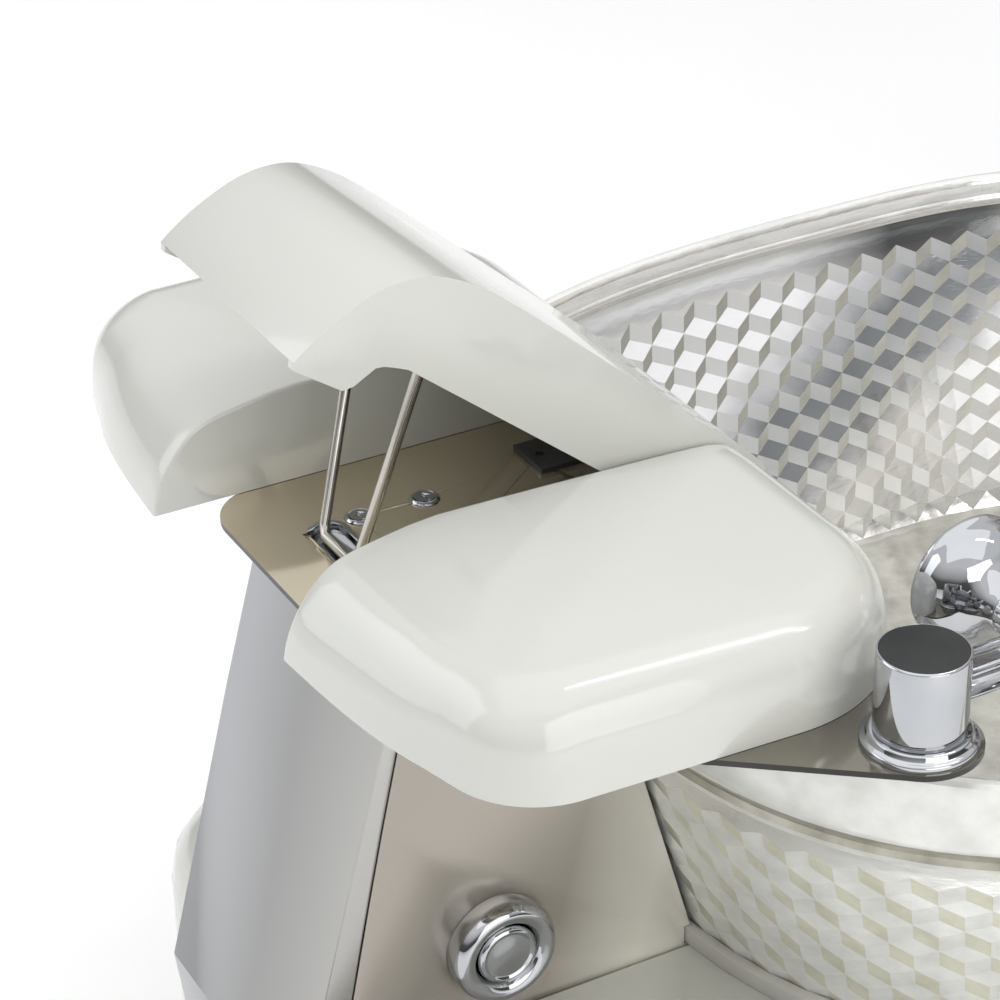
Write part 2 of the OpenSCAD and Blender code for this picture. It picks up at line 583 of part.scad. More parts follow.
// Rings of a tube that follows a helix between the switch and the button
function coil_ring(t, z0, z1) = let (a = 360 * spring_turns * t, z = z0 + (z1 - z0) * t)
  [for (k = [0:5]) let (b = 60 * k) [(spring_r + spring_wire * cos(b)) * cos(a),
    (spring_r + spring_wire * cos(b)) * sin(a), z + spring_wire * sin(b)]];
module jet_spring() color(steel) jet_axis() {
  count = spring_turns * spring_steps;
  lofted([for (i = [count:-1:0]) coil_ring(i / count, -18, -4.4 - jet_travel - spring_wire)], 6);
}
module air_switch() color(dark) jet_axis() {
  difference() {
    translate([0, 0, -50]) cylinder(r = jet_bore_r - 4, h = 30);
    translate([0, 0, -22]) cylinder(r = 6, h = 5);
  }
  difference() {
    translate([0, 0, -20]) cylinder(r = jet_bore_r - 1, h = 4);
    translate([0, 0, -19.2]) cylinder(r = spring_r + 3, h = 4);
  }
  translate([0, 0, -62]) cylinder(r = 3, h = 12);
}

// ---------- bowl fittings ----------
seal_w = 6;
seal_h = 10;
module bowl_seal() color("gainsboro") deck() difference() {
  bowl_column(seal_in - seal_w, -base_drop, -base_drop + seal_h);
  bowl_column(seal_in, -base_drop - 1, -base_drop + seal_h + 1);
}
inner_floor = bowl_floor_z + 12;
module drain_flange() color(chrome_c) deck() translate([0, drain_y, 0]) difference() {
  union() {
    translate([0, 0, inner_floor]) cylinder(r = drain_r + 12, h = 2.5);
    translate([0, 0, bowl_floor_z - 30]) cylinder(r = drain_r - 0.3, h = 30 + 14);
    translate([0, 0, bowl_floor_z - 10]) cylinder(r = drain_r + 10, h = 9.7);
  }
  translate([0, 0, bowl_floor_z - 40]) cylinder(r = stopper_r + 0.6, h = 100);
}
stopper_r = 19;
stopper_rod_r = 3;
// Drain body with a floor that guides the stopper's rod, and the pipe to the back
module drain_pipe() color("gray") deck() translate([0, drain_y, -deck_z + drain_pipe_z]) difference() {
  union() {
    cylinder(r = drain_r + 6, h = pipe_top);
    rod_y(pipe_r, -20, housing_back + 14 - drain_y);
    rod_y(pipe_r - 1, 0, housing_back + 40 - drain_y);
  }
  translate([0, 0, pipe_r + 6]) cylinder(r = drain_r + 0.1, h = 300);
  rod_y(pipe_r - 3, -17, housing_back + 50 - drain_y);
  cylinder(r = stopper_rod_r + run, h = 60);
  for (a = [0:90:270]) rotate([0, 0, a]) translate([11.5, 0, 0]) cylinder(r = 5, h = 60);
}
drain_pipe_z = 95;
pipe_r = 20;
pipe_top = deck_z + bowl_floor_z - 12 - drain_pipe_z;
module drain_stopper() color(chrome_c) deck() translate([0, drain_y, 0]) {
  translate([0, 0, inner_floor - 4]) cylinder(r = stopper_r, h = 6);
  translate([0, 0, inner_floor + 2.8]) cylinder(r1 = drain_r - 2, r2 = drain_r - 6, h = 3);
  translate([0, 0, inner_floor - 1]) cylinder(r = drain_r - 6, h = 4);
  translate([0, 0, -deck_z + drain_pipe_z + pipe_r - 8]) cylinder(r = stopper_rod_r,
    h = inner_floor + deck_z - drain_pipe_z - pipe_r + 6);
}
cap_r = 46;
wall_perp = glass_t * cos(bowl_taper);
module jet_housing() color("whitesmoke") deck() jet_place() difference() {
  union() {
    rod_y(jet_shaft_r, -12.5, 14);
    rod_y(cap_r, -26, -wall_perp - 1);
    rod_y(cap_r - 6, 0.4, 8);
  }
  rod_y(cap_r - 4, -23, -wall_perp - 3.5);
  rod_y(6, -60, 60);
  for (a = [0:30:330]) rotate([0, a, 0]) box([16, -40, -2.5], [32, -22, 2.5]);
  for (a = [0:45:315]) rotate([0, a, 0]) box([cap_r - 10, -21, -5], [cap_r + 10, -17, 5]);
}
module jet_impeller() color(dark) deck() jet_place() {
  rod_y(5.95, -21, 18);
  rod_y(14, -21, -17.5);
  for (a = [0:60:300]) rotate([0, a, 0]) box([9, -20.5, -1.5], [36, -18, 1.5]);
}
module jet_motor() color(dark) deck() jet_place() difference() {
  union() {
    rod_y(jet_motor_r, 14.2, 78);
    rod_y(jet_motor_r - 8, 8.2, 14.2);
  }
  rod_y(jet_shaft_r + 0.3, 0, 14.3);
  rod_y(6, 0, 24);
}

// ---------- tap ----------
module tap_place() deck() translate([tap_pos[0], tap_pos[1], 0]) children();
module tap_base_ring() color(chrome_c) tap_place() difference() {
  union() {
    rotate_extrude() polygon([[0, 0], [tap_ring_d / 2, 0], [tap_ring_d / 2, 2.6],
      [tap_ring_d / 2 - 0.8, 3.4], [tap_d / 2 + 3, 4], [tap_d / 2 + 2.2, 6.2], [tap_d / 2 + 1.4, 6.8],
      [0, 6.8]]);
    translate([0, 0, -10]) cylinder(r = tap_shank_r - 0.2, h = 10.5);
    translate([0, 0, -10]) cylinder(r = tap_shank_r + 3, h = 10 - deck_t - 0.1);
  }
  translate([0, 0, -20]) cylinder(r = 5, h = 60);
  translate([0, 0, 3]) cylinder(r = tap_spigot_r + run, h = 20);
}
tap_spigot_r = 12;
module tap_body() color(chrome_c) tap_place() difference() {
  union() {
    translate([0, 0, 7]) cylinder(r = tap_d / 2, h = tap_h - 7 - 0.8);
    translate([0, 0, tap_h - 0.8]) cylinder(r1 = tap_d / 2, r2 = tap_d / 2 - 0.8, h = 0.8);
    translate([0, 0, 3.2]) cylinder(r = tap_spigot_r, h = 5);
  }
  translate([0, 0, tap_h - 1]) cylinder(r = tap_d / 2 - 1.2, h = 5);
  translate([0, 0, -1]) cylinder(r = 5, h = tap_h - 8);
}
module tap_disc() color(dark) tap_place() translate([0, 0, tap_h - 1])
  cylinder(r = tap_d / 2 - 1.3, h = 0.8);
elbow_r = 14;
collar_x = -elbow_r - 3;
module spout_arm() color(chrome_c) tap_place() translate([0, 0, arm_z]) {
  difference() {
    rod_y(arm_d / 2, 10, arm_len - elbow_r);
    translate([0, 0, -50]) cylinder(r = tap_d / 2, h = 100);
  }
  translate([-elbow_r, arm_len - elbow_r, 0]) rotate_extrude(angle = 90)
    translate([elbow_r, 0]) circle(r = arm_d / 2);
  translate([0, arm_len, 0]) rod_x(9, collar_x, -elbow_r);
}
stem_r = 6;
collar_len = 13;
module spray_collar() color(chrome_c) tap_place() translate([0, arm_len, arm_z]) difference() {
  rod_x(arm_d / 2 + 1.5, collar_x - collar_len, collar_x - 0.1);
  rod_x(stem_r + run, collar_x - collar_len - 5, collar_x + 5);
  for (a = [0:20:340]) rotate([a, 0, 0]) translate([0, arm_d / 2 + 2.2, 0])
    rod_x(1.2, collar_x - collar_len + 2, collar_x - 2);
}
module spray_head() color(chrome_c) tap_place() translate([collar_x - collar_len - 0.3, arm_len, arm_z])
  rotate([0, -90, 0]) {
    r = bell_d / 2;
    rotate_extrude($fn = 64) polygon([[0, 0], [11, 0], [12, 2], [14, 7], [18, 12], [23, 16], [27.5, 21],
      [30, 26], [31, bell_len - 5], [r, bell_len - 3], [r, bell_len - 1], [r - 1, bell_len],
      [r - 3, bell_len - 1.5], [0, bell_len - 1.5]]);
    translate([0, 0, -collar_len - 0.2]) cylinder(r = stem_r, h = collar_len + 1);
  }

// ---------- services ----------
inlet_x = [-90, 90];
inlet_z = 120;
inlet_r = 10.4;
module water_inlets() color("gold") floor_place() for (x = inlet_x) translate([x, 0, inlet_z]) {
  rod_y(inlet_r, housing_back - base_wall - 30, housing_back + 30);
  rod_y(16, housing_back - base_wall - 14, housing_back - base_wall - 0.2);
  box([-14, housing_back - base_wall - 60, -14], [14, housing_back - base_wall - 30, 14]);
  box([-14, housing_back - base_wall - 60, foot_h + tube_s - inlet_z],
    [14, housing_back - base_wall - 36, -14]);
}
module control_box() color(dark) floor_place() box([40, split_y + 134, foot_h + tube_s],
  [200, split_y + 274, foot_h + tube_s + 90]);

// ---------- seat ----------
seat_rail_x = 150;
rail_w = 24;
rail_h = 20;
rail_z = housing_h + rail_h;
seat_base_z = rail_z + seat_lift;
carriage_y = [split_y + 125, split_y + housing_len - 60];
module seat_rails() color("gray") floor_place() for (s = [-1, 1])
  box([s * seat_rail_x - rail_w / 2, split_y + 40, housing_h],
    [s * seat_rail_x + rail_w / 2, split_y + housing_len - 30, rail_z]);
pan_z = seat_base_z - 12;
seat_back_y = seat_y + seat_len;
pivot = [0, seat_back_y + 26, seat_base_z + 30];
bracket_in = seat_half_w + 10;
module seat_carriage() color("dimgray") floor_place() difference() {
  union() {
    box([-seat_half_w + 20, seat_y + 20, pan_z], [seat_half_w - 20, seat_back_y - 5, seat_base_z - seat_gap]);
    box([-seat_half_w + 10, carriage_y[0], rail_z + seat_gap], [seat_half_w - 10, carriage_y[1], pan_z]);
    box([-bracket_in, carriage_y[0] + 120, rail_z + 2], [bracket_in, carriage_y[1], pan_z]);
    for (s = [-1, 1]) for (t = [-1, 1]) let (x = s * seat_rail_x + t * (rail_w / 2 + seat_gap + 4))
      box([x - 4, carriage_y[0], housing_h + 2], [x + 4, carriage_y[1], rail_z + 5]);
    for (s = [-1, 1]) {
      x = s * bracket_in;
      box([x - 6, carriage_y[0] + 120, rail_z + 2], [x + 6, pivot[1] + 24, pivot[2] + 24]);
      box([x - 6, arm_pivot[1] - 20, rail_z + 2], [x + 6, arm_pivot[1] + 20, arm_pivot[2]]);
      translate([0, arm_pivot[1], arm_pivot[2]]) rod_x(24, x - 6, x + 6);
      translate([0, arm_pivot[1], arm_pivot[2]]) rod_side(s, arm_pin_d / 2, [bracket_in, arm_in_x + 60]);
      translate([0, pivot[1], pivot[2]]) rod_side(s, back_pin_r, [seat_half_w - 35, bracket_in]);
    }
  }
  rod_at(tunnel_r, 100, rod_end);
}
back_pin_r = 10;
arm_pivot = [0, seat_back_y + 30, arm_top_z - 34];
rod_z = rail_z + 15;
rod_r = 5;
tunnel_r = 13;
rod_end = split_y + 240;
module seat_actuator() color(dark) floor_place() difference() {
  union() {
    box([-22, split_y + 18, housing_h], [22, split_y + 60, rod_z + 12]);
    rod_at(11, split_y + 18, split_y + 150);
  }
  rod_at(rod_r + run, split_y + 20, split_y + 160);
}
module rod_at(r, y0, y1) translate([0, 0, rod_z]) rod_y(r, y0, y1);
module seat_actuator_rod() color(chrome_c) floor_place() rod_at(rod_r, split_y + 85, rod_end);

// A stuffed block: crowned top, sides drawn in between its corners, and sewn channels across it
function bump(u, p) = pow(max(0, 1 - pow(abs(2 * u - 1), p)), 0.5);
function stitch(v, n, depth) = n == 0 ? 0 : depth * max([for (k = [1:n])
  exp(-pow((v - k / (n + 1)) / 0.022, 2))]);
function cushion_top(w, l, t, n, depth, nu, nv) = [for (j = [0:nv]) for (i = [0:nu])
  let (u = i / nu, v = j / nv, side = 0.6,
    wx = w - 12 * (1 - bump(v, 6)) - 8 * sin(180 * v), ly = l - 12 * (1 - bump(u, 6)) - 8 * sin(180 * u))
  [(u - 0.5) * wx, (v - 0.5) * ly + l / 2,
    t * (side + (1 - side) * bump(u, 5) * bump(v, 5)) - stitch(v, n, depth) * bump(u, 8)]];
module cushion(w, l, t, n, depth, nu, nv) {
  top = cushion_top(w, l, t, n, depth, nu, nv);
  low = [for (p = top) [p[0] * (1 - 16 / w), (p[1] - l / 2) * (1 - 16 / l) + l / 2, 0]];
  m = nu + 1;
  count = m * (nv + 1);
  edge = concat([for (i = [0:nu - 1]) i], [for (j = [0:nv - 1]) nu + j * m],
    [for (i = [nu:-1:1]) nv * m + i], [for (j = [nv:-1:1]) j * m]);
  faces = concat(
    [for (j = [0:nv - 1]) for (i = [0:nu - 1]) let (a = j * m + i)
      each [[a, a + m + 1, a + 1], [a, a + m, a + m + 1]]],
    [for (j = [0:nv - 1]) for (i = [0:nu - 1]) let (a = count + j * m + i)
      each [[a, a + 1, a + m + 1], [a, a + m + 1, a + m]]],
    [for (k = [0:len(edge) - 1]) let (a = edge[k], b = edge[(k + 1) % len(edge)])
      each [[a, b, b + count], [a, b + count, a + count]]]);
  polyhedron(concat(top, low), faces, convexity = 6);
}
module seat_cushion() color(hide) floor_place() translate([0, seat_y, seat_base_z])
  cushion(2 * seat_half_w, seat_len, seat_t, seat_channels, channel_depth, 14, 24);

// ---------- back ----------
module back_place() floor_place() translate(pivot) rotate([-back_tilt, 0, 0]) children();
back_half_w = seat_half_w - 8;
cushion_z = 100;
back_face = 8.3;
rail_rod_r = 8;
rail_rod_x = 75;
rail_rod_y = 10;
post_r = 6;
post_half = 60;
bar_z = [668, 692];
knuckle_x = [seat_half_w - 34, seat_half_w - 6];
frame_half = seat_half_w - 25;
module back_frame() color("dimgray") back_place() difference() {
  union() {
    for (s = [-1, 1]) {
      rod_side(s, 22, knuckle_x);
      box([s * frame_half - 6, -8, 0], [s * frame_half + 6, 24, bar_z[1]]);
      translate([s * rail_rod_x, rail_rod_y, 80]) cylinder(r = rail_rod_r, h = bar_z[0] - 80);
    }
    box([-frame_half, -8, 64], [frame_half, 24, 86]);
    box([-frame_half, -8, bar_z[0]], [frame_half, 24, bar_z[1]]);
    box([lug_x[0], -14, 0], [lug_x[1], 14, 70]);
    rod_x(16, lug_x[0], lug_x[1]);
  }
  for (s = [-1, 1]) rod_side(s, back_pin_r + run, [seat_half_w - 40, seat_half_w + 20]);
  rod_x(motor_shaft_r + run, lug_x[0] - 5, lug_x[1] + 5);
  for (s = [-1, 1]) translate([s * post_half, 8, bar_z[0] - 5]) cylinder(r = post_r + run, h = 40);
}
module rod_side(s, r, span) rod_x(r, s > 0 ? span[0] : -span[1], s > 0 ? span[1] : -span[0]);
lug_x = [120, 140];
motor_shaft_r = 8;
module recline_motor() color(dark) floor_place() {
  box([-60, pivot[1] - 22, pan_z], [60, pivot[1] + 30, pivot[2] + 26]);
  translate([0, pivot[1], pivot[2]]) rod_x(motor_shaft_r, 60, lug_x[1] + 2);
  translate([0, pivot[1], pivot[2]]) rod_x(20, 60, 66);
}
module back_cushion() color(hide) back_place() translate([0, -back_face, cushion_z]) rotate([90, 0, 0])
  cushion(2 * back_half_w, back_len, back_t, back_channels, channel_depth, 14, 28);
shell_y = [24.3, 72];
shell_z = [cushion_z - 60, cushion_z + back_len + 12];
shell_r = 42;
shell_half = back_half_w - 2;
module shell_plan(grow) {
  for (s = [-1, 1]) for (z = [shell_z[0] + shell_r, shell_z[1] - shell_r])
    translate([s * (shell_half - shell_r), z]) circle(r = shell_r - grow);
  translate([-shell_half + grow, shell_z[0] + shell_r])
    square([2 * (shell_half - grow), shell_z[1] - shell_z[0] - 2 * shell_r]);
  translate([-shell_half + shell_r, shell_z[0] + grow])
    square([2 * (shell_half - shell_r), shell_z[1] - shell_z[0] - 2 * grow]);
}
module shell_slab(grow, y0, y1) translate([0, y1, 0]) rotate([90, 0, 0]) linear_extrude(y1 - y0)
  shell_plan(grow);
module back_shell() color(white) back_place() {
  difference() {
    union() {
      shell_slab(0, shell_y[0], shell_y[1] - 12);
      shell_slab(3.5, shell_y[1] - 14, shell_y[1] - 4);
      shell_slab(10, shell_y[1] - 6, shell_y[1]);
    }
    shell_slab(4, shell_y[0] - 5, shell_y[1] - 15);
    shell_slab(13, shell_y[1] - 20, shell_y[1] - 4);
  }
  for (s = [-1, 1]) for (z = [120, 600]) translate([s * (seat_half_w - 27), 0, z]) rod_y(7, shell_y[0], shell_y[1] - 3);
}
carriage_z = 330;
roller_r = 24;
roller_axis = [0, 16, carriage_z + 56];
module massage_carriage() color(dark) back_place() difference() {
  union() {
    box([-92, -6, carriage_z], [92, 23, carriage_z + 24]);
    for (x = [-60, -6, 54]) box([x, 2, carriage_z + 24], [x + 6, 24, roller_axis[2] + 8]);
    for (s = [-1, 1]) translate([s * rail_rod_x, rail_rod_y, carriage_z]) cylinder(r = 13, h = 40);
  }
  for (s = [-1, 1]) translate([s * rail_rod_x, rail_rod_y, carriage_z - 5])
    cylinder(r = rail_rod_r + run, h = 60);
  translate(roller_axis) rod_x(4, -70, 70);
}
module massage_rollers() color("tan") back_place() translate(roller_axis) {
  rod_x(4 - run, -59, 59);
  for (s = [-28, 28]) translate([s, 0, 0]) rotate([0, 90, 0]) rotate_extrude() polygon([[0, -20], [15, -20],
    [20, -17], [roller_r - 1, -10], [roller_r, 0], [roller_r - 1, 10], [20, 17], [15, 20], [0, 20]]);
}
head_z = cushion_z + back_len + 6;
module headrest() color(hide) back_place() translate([0, -18, head_z]) rotate([90, 0, 0])
  cushion(270, 130, 68, 0, 0, 14, 10);
module headrest_posts() color(chrome_c) back_place() for (s = [-1, 1]) {
  translate([s * post_half, 8, bar_z[0] - 70]) cylinder(r = post_r, h = head_z + 60 - bar_z[0] + 70);
  translate([s * post_half, 8, head_z + 60]) sphere(r = post_r, $fn = 24);
  translate([s * post_half, 0, head_z + 60]) rod_y(post_r, -18, 8);
}

// ---------- arms and trays ----------
arm_y0 = arm_pivot[1] + 30 - arm_beam_len;
arm_in_x = seat_half_w + arm_gap;
arm_mid_x = arm_in_x + arm_w / 2;
beam_h = 60;
tray_pin = [arm_mid_x, arm_y0 + 40];
tray_pin_r = 6;
tray_t = 20;
module arm(left) color(white) floor_place() flip(left) difference() {
  hull() for (x = [arm_in_x + 24, arm_in_x + arm_w - 24]) {
    translate([x, arm_y0 + 24, arm_top_z - beam_h]) arm_post(14);
    translate([x, arm_pivot[1] + 6, arm_top_z - beam_h]) arm_post(14);
  }
  translate([0, arm_pivot[1], arm_pivot[2]]) rod_x(arm_pin_d / 2 + run, arm_in_x - 5, arm_in_x + 62);
  translate([tray_pin[0], tray_pin[1], arm_top_z - 40]) cylinder(r = tray_pin_r + run, h = 50);
}
module arm_post(edge) for (a = [0:30:90]) {
  translate([0, 0, edge * (1 - sin(a))]) cylinder(r = 24 - edge * (1 - cos(a)), h = beam_h / 2, $fn = 32);
  cylinder(r = 24 - 2 * (1 - cos(a)), h = beam_h - 2 * (1 - sin(a)), $fn = 32);
}
module arm_left() arm(true);
module arm_right() arm(false);
pad_y0 = arm_y0 + 204;
module arm_pad(left) color(hide) floor_place() flip(left)
  translate([arm_mid_x, pad_y0, arm_top_z + seat_gap])
    cushion(arm_w - 4, arm_pivot[1] + 20 - pad_y0, pad_t, 0, 0, 10, 18);
module arm_pad_left() arm_pad(true);
module arm_pad_right() arm_pad(false);
tray_len = 190;
tray_r = 22;
tray_half = arm_w / 2 - 1;
module tray_plan(grow) for (y = [arm_y0 + tray_r, arm_y0 + tray_len - tray_r]) for (s = [-1, 1])
  translate([arm_mid_x + s * (tray_half - tray_r), y]) circle(r = tray_r - grow);
module tray_solid(grow, z0, z1) translate([0, 0, z0]) linear_extrude(z1 - z0) {
  tray_plan(grow);
  translate([arm_mid_x - tray_half + grow, arm_y0 + tray_r])
    square([2 * (tray_half - grow), tray_len - 2 * tray_r]);
  translate([arm_mid_x - tray_half + tray_r, arm_y0 + grow])
    square([2 * (tray_half - tray_r), tray_len - 2 * grow]);
}
module tray(left) color(white) floor_place() flip(left) {
  difference() {
    tray_solid(0, arm_top_z + seat_gap, arm_top_z + tray_t);
    tray_solid(5, arm_top_z + 5, arm_top_z + tray_t + 5);
  }
  translate([tray_pin[0], tray_pin[1], arm_top_z - 39]) cylinder(r = tray_pin_r, h = 42);
}
module tray_left() tray(true);
module tray_right() tray(false);

base_shell();
seat_housing();
chassis_frame();
levelling_feet();
service_panel();
pedestal_front_panel();
pedestal_side_near();
pedestal_side_far();
pedestal_post();
deck_plate();
deck_screws();
deck_cup_washers();
prop_seat_cup();
footrest_wing_near();
footrest_wing_far();
hinge_bracket();
hinge_pin();
footrest_center();
hinge_knuckles();
prop_clips();
prop_bail();
jet_bezel();
jet_button();
jet_spring();
air_switch();
bowl();
bowl_seal();
drain_flange();
drain_stopper();
drain_pipe();
jet_housing();
jet_impeller();
jet_motor();
tap_base_ring();
tap_body();
tap_disc();
spout_arm();
spray_collar();
spray_head();
water_inlets();
control_box();
seat_rails();
seat_carriage();
seat_actuator();
seat_actuator_rod();
seat_cushion();
back_frame();
back_shell();
back_cushion();
recline_motor();
headrest_posts();
massage_carriage();
massage_rollers();
headrest();
arm_left();
arm_right();
arm_pad_left();
arm_pad_right();
tray_left();
tray_right();
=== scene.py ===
import json
import math
import bpy
from mathutils import Matrix, Vector


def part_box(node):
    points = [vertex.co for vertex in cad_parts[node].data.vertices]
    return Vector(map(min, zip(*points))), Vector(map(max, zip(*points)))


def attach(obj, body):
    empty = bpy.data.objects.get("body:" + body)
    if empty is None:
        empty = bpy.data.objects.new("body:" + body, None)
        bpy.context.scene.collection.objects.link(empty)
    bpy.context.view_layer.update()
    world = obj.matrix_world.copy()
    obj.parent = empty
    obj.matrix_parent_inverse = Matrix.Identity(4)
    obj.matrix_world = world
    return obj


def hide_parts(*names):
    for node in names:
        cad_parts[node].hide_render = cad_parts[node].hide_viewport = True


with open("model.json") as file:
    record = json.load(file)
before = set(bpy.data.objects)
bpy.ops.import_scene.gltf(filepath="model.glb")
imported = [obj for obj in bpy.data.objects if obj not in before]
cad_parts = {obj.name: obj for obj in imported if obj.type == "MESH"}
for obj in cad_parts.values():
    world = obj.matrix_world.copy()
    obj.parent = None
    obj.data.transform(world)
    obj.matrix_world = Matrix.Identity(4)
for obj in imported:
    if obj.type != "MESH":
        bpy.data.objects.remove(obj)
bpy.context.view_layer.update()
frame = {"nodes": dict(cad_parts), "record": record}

deck_front = -0.7236
deck_top = 0.520


def local(x, y, z):
    """A point in metres, given in millimetres from the deck plate's front edge and top face."""
    return Vector((x / 1000, y / 1000 + deck_front, z / 1000 + deck_top))


# ---------- camera ----------
camera_turn, camera_drop, camera_roll = 27.94, 29.74, -1.34
camera_lens, camera_sensor = 109.32, 36
camera_place = (1157.55, -485.94, 750.48)


def set_camera():
    turn, drop, roll = (math.radians(a) for a in (camera_turn, camera_drop, camera_roll))
    ahead = Vector((-math.cos(turn) * math.cos(drop), math.sin(turn) * math.cos(drop),
                    -math.sin(drop)))
    side = Vector((math.sin(turn), math.cos(turn), 0))
    up = side.cross(ahead)
    right = math.cos(roll) * side + math.sin(roll) * up
    top = -math.sin(roll) * side + math.cos(roll) * up
    data = bpy.data.cameras.new("studio_camera")
    data.lens = camera_lens
    data.sensor_width = camera_sensor
    data.clip_end = 50
    cam = bpy.data.objects.new("studio_camera", data)
    bpy.context.collection.objects.link(cam)
    place = local(*camera_place)
    cam.matrix_world = Matrix(((right.x, top.x, -ahead.x, place.x), (right.y, top.y, -ahead.y, place.y),
                               (right.z, top.z, -ahead.z, place.z), (0, 0, 0, 1)))
    bpy.context.scene.camera = cam


set_camera()


# ---------- material helpers ----------
def new_material(name):
    m = bpy.data.materials.new(name)
    m.use_nodes = True
    tree = m.node_tree
    shader = tree.nodes["Principled BSDF"]
    return m, tree, shader


def object_coords(tree, scale=(1, 1, 1)):
    coords = tree.nodes.new("ShaderNodeTexCoord")
    place = tree.nodes.new("ShaderNodeMapping")
    place.inputs["Scale"].default_value = scale
    tree.links.new(coords.outputs["Object"], place.inputs["Vector"])
    return place.outputs["Vector"]


def noise(tree, vector, scale, detail=4, rough=0.5):
    n = tree.nodes.new("ShaderNodeTexNoise")
    n.inputs["Scale"].default_value = scale
    n.inputs["Detail"].default_value = detail
    n.inputs["Roughness"].default_value = rough
    tree.links.new(vector, n.inputs["Vector"])
    return n.outputs["Fac"]


def ramp(tree, value, stops):
    r = tree.nodes.new("ShaderNodeValToRGB")
    r.color_ramp.elements[0].position, r.color_ramp.elements[0].color = stops[0][0], (*stops[0][1], 1)
    r.color_ramp.elements[1].position, r.color_ramp.elements[1].color = stops[-1][0], (*stops[-1][1], 1)
    for at, colour in stops[1:-1]:
        e = r.color_ramp.elements.new(at)
        e.color = (*colour, 1)
    tree.links.new(value, r.inputs["Fac"])
    return r.outputs["Color"]


def spread(tree, value, low, high):
    m = tree.nodes.new("ShaderNodeMapRange")
    m.inputs["To Min"].default_value = low
    m.inputs["To Max"].default_value = high
    tree.links.new(value, m.inputs["Value"])
    return m.outputs["Result"]


def along(tree, slope, offset):
    """A value that grows with the place along slope, plus an offset that may vary."""
    way = tree.nodes.new("ShaderNodeVectorMath")
    way.operation = "DOT_PRODUCT"
    way.inputs[1].default_value = slope
    tree.links.new(object_coords(tree), way.inputs[0])
    total = tree.nodes.new("ShaderNodeMath")
    tree.links.new(way.outputs["Value"], total.inputs[0])
    tree.links.new(offset, total.inputs[1])
    return total.outputs[0]


def coat(shader, weight, rough):
    shader.inputs["Coat Weight"].default_value = weight
    shader.inputs["Coat Roughness"].default_value = rough


def bump(tree, shader, value, strength, distance):
    b = tree.nodes.new("ShaderNodeBump")
    b.inputs["Strength"].default_value = strength
    b.inputs["Distance"].default_value = distance
    tree.links.new(value, b.inputs["Height"])
    tree.links.new(b.outputs["Normal"], shader.inputs["Normal"])


def link(tree, shader, socket, value):
    tree.links.new(value, shader.inputs[socket])


# ---------- finishes ----------
def moulded_white():
    m, tree, shader = new_material("moulded_white_gelcoat")
    v = object_coords(tree)
    tint = [(0.3, (0.555, 0.56, 0.525)), (0.7, (0.595, 0.60, 0.565))]
    link(tree, shader, "Base Color", ramp(tree, noise(tree, v, 3.0, 3), tint))
    link(tree, shader, "Roughness", spread(tree, noise(tree, v, 18.0, 5), 0.10, 0.22))
    coat(shader, 0.5, 0.03)
    bump(tree, shader, noise(tree, v, 260.0, 2), 0.04, 0.0004)
    return m


def steel_with_painted_reflection(name, stops, rough, marks, slope, metal, start):
    """Rolled sheet with a painted reflection: its tint changes slowly along slope, standing for the room
    that the polished steel mirrors, with fine rolling marks across it.
    """
    m, tree, shader = new_material(name)
    grain = noise(tree, object_coords(tree, marks), 60.0, 6, 0.6)
    cloud = spread(tree, noise(tree, object_coords(tree), 2.2, 2), -0.12 + start, 0.12 + start)
    # Painted reflection: the base colour ramps through dark and light bands along slope.
    link(tree, shader, "Base Color", ramp(tree, along(tree, slope, cloud), stops))
    link(tree, shader, "Roughness", spread(tree, grain, rough * 0.96, rough * 1.05))
    shader.inputs["Metallic"].default_value = metal
    bump(tree, shader, grain, 0.002, 0.0001)
    return m


def chrome_plate():
    m, tree, shader = new_material("chrome_plating")
    v = object_coords(tree)
    tint = [(0.3, (0.44, 0.455, 0.48)), (0.7, (0.50, 0.51, 0.53))]
    link(tree, shader, "Base Color", ramp(tree, noise(tree, v, 30.0), tint))
    link(tree, shader, "Roughness", spread(tree, noise(tree, v, 90.0, 5), 0.02, 0.07))
    shader.inputs["Metallic"].default_value = 1.0
    return m


def plain_finish(name, dark, light, rough, scale=40.0, metal=0.0, gleam=0.5):
    """One clouded tint with faint wear and a fine grain."""
    m, tree, shader = new_material(name)
    v = object_coords(tree)
    tint = [(0.3, dark), (0.7, light)]
    link(tree, shader, "Base Color", ramp(tree, noise(tree, v, scale * 0.4), tint))
    wear = noise(tree, v, scale, 5)
    link(tree, shader, "Roughness", spread(tree, wear, rough * 0.8, min(1, rough * 1.2)))
    shader.inputs["Metallic"].default_value = metal
    shader.inputs["Specular IOR Level"].default_value = gleam
    bump(tree, shader, noise(tree, v, scale * 8, 3), 0.06, 0.0004)
    return m


def cast_acrylic():
    m, tree, shader = new_material("silvered_bowl_acrylic")
    v = object_coords(tree)
    streak = noise(tree, object_coords(tree, (1, 1, 7)), 8.0, 6, 0.65)
    tint = [(0.22, (0.74, 0.74, 0.73)), (0.5, (0.95, 0.95, 0.94))]
    link(tree, shader, "Base Color", ramp(tree, streak, tint))
    link(tree, shader, "Roughness", spread(tree, noise(tree, v, 24.0, 5), 0.08, 0.30))
    shader.inputs["Metallic"].default_value = 0.75
    coat(shader, 0.5, 0.05)
    bump(tree, shader, noise(tree, object_coords(tree, (1, 1, 3)), 40.0, 5), 0.25, 0.003)
    return m


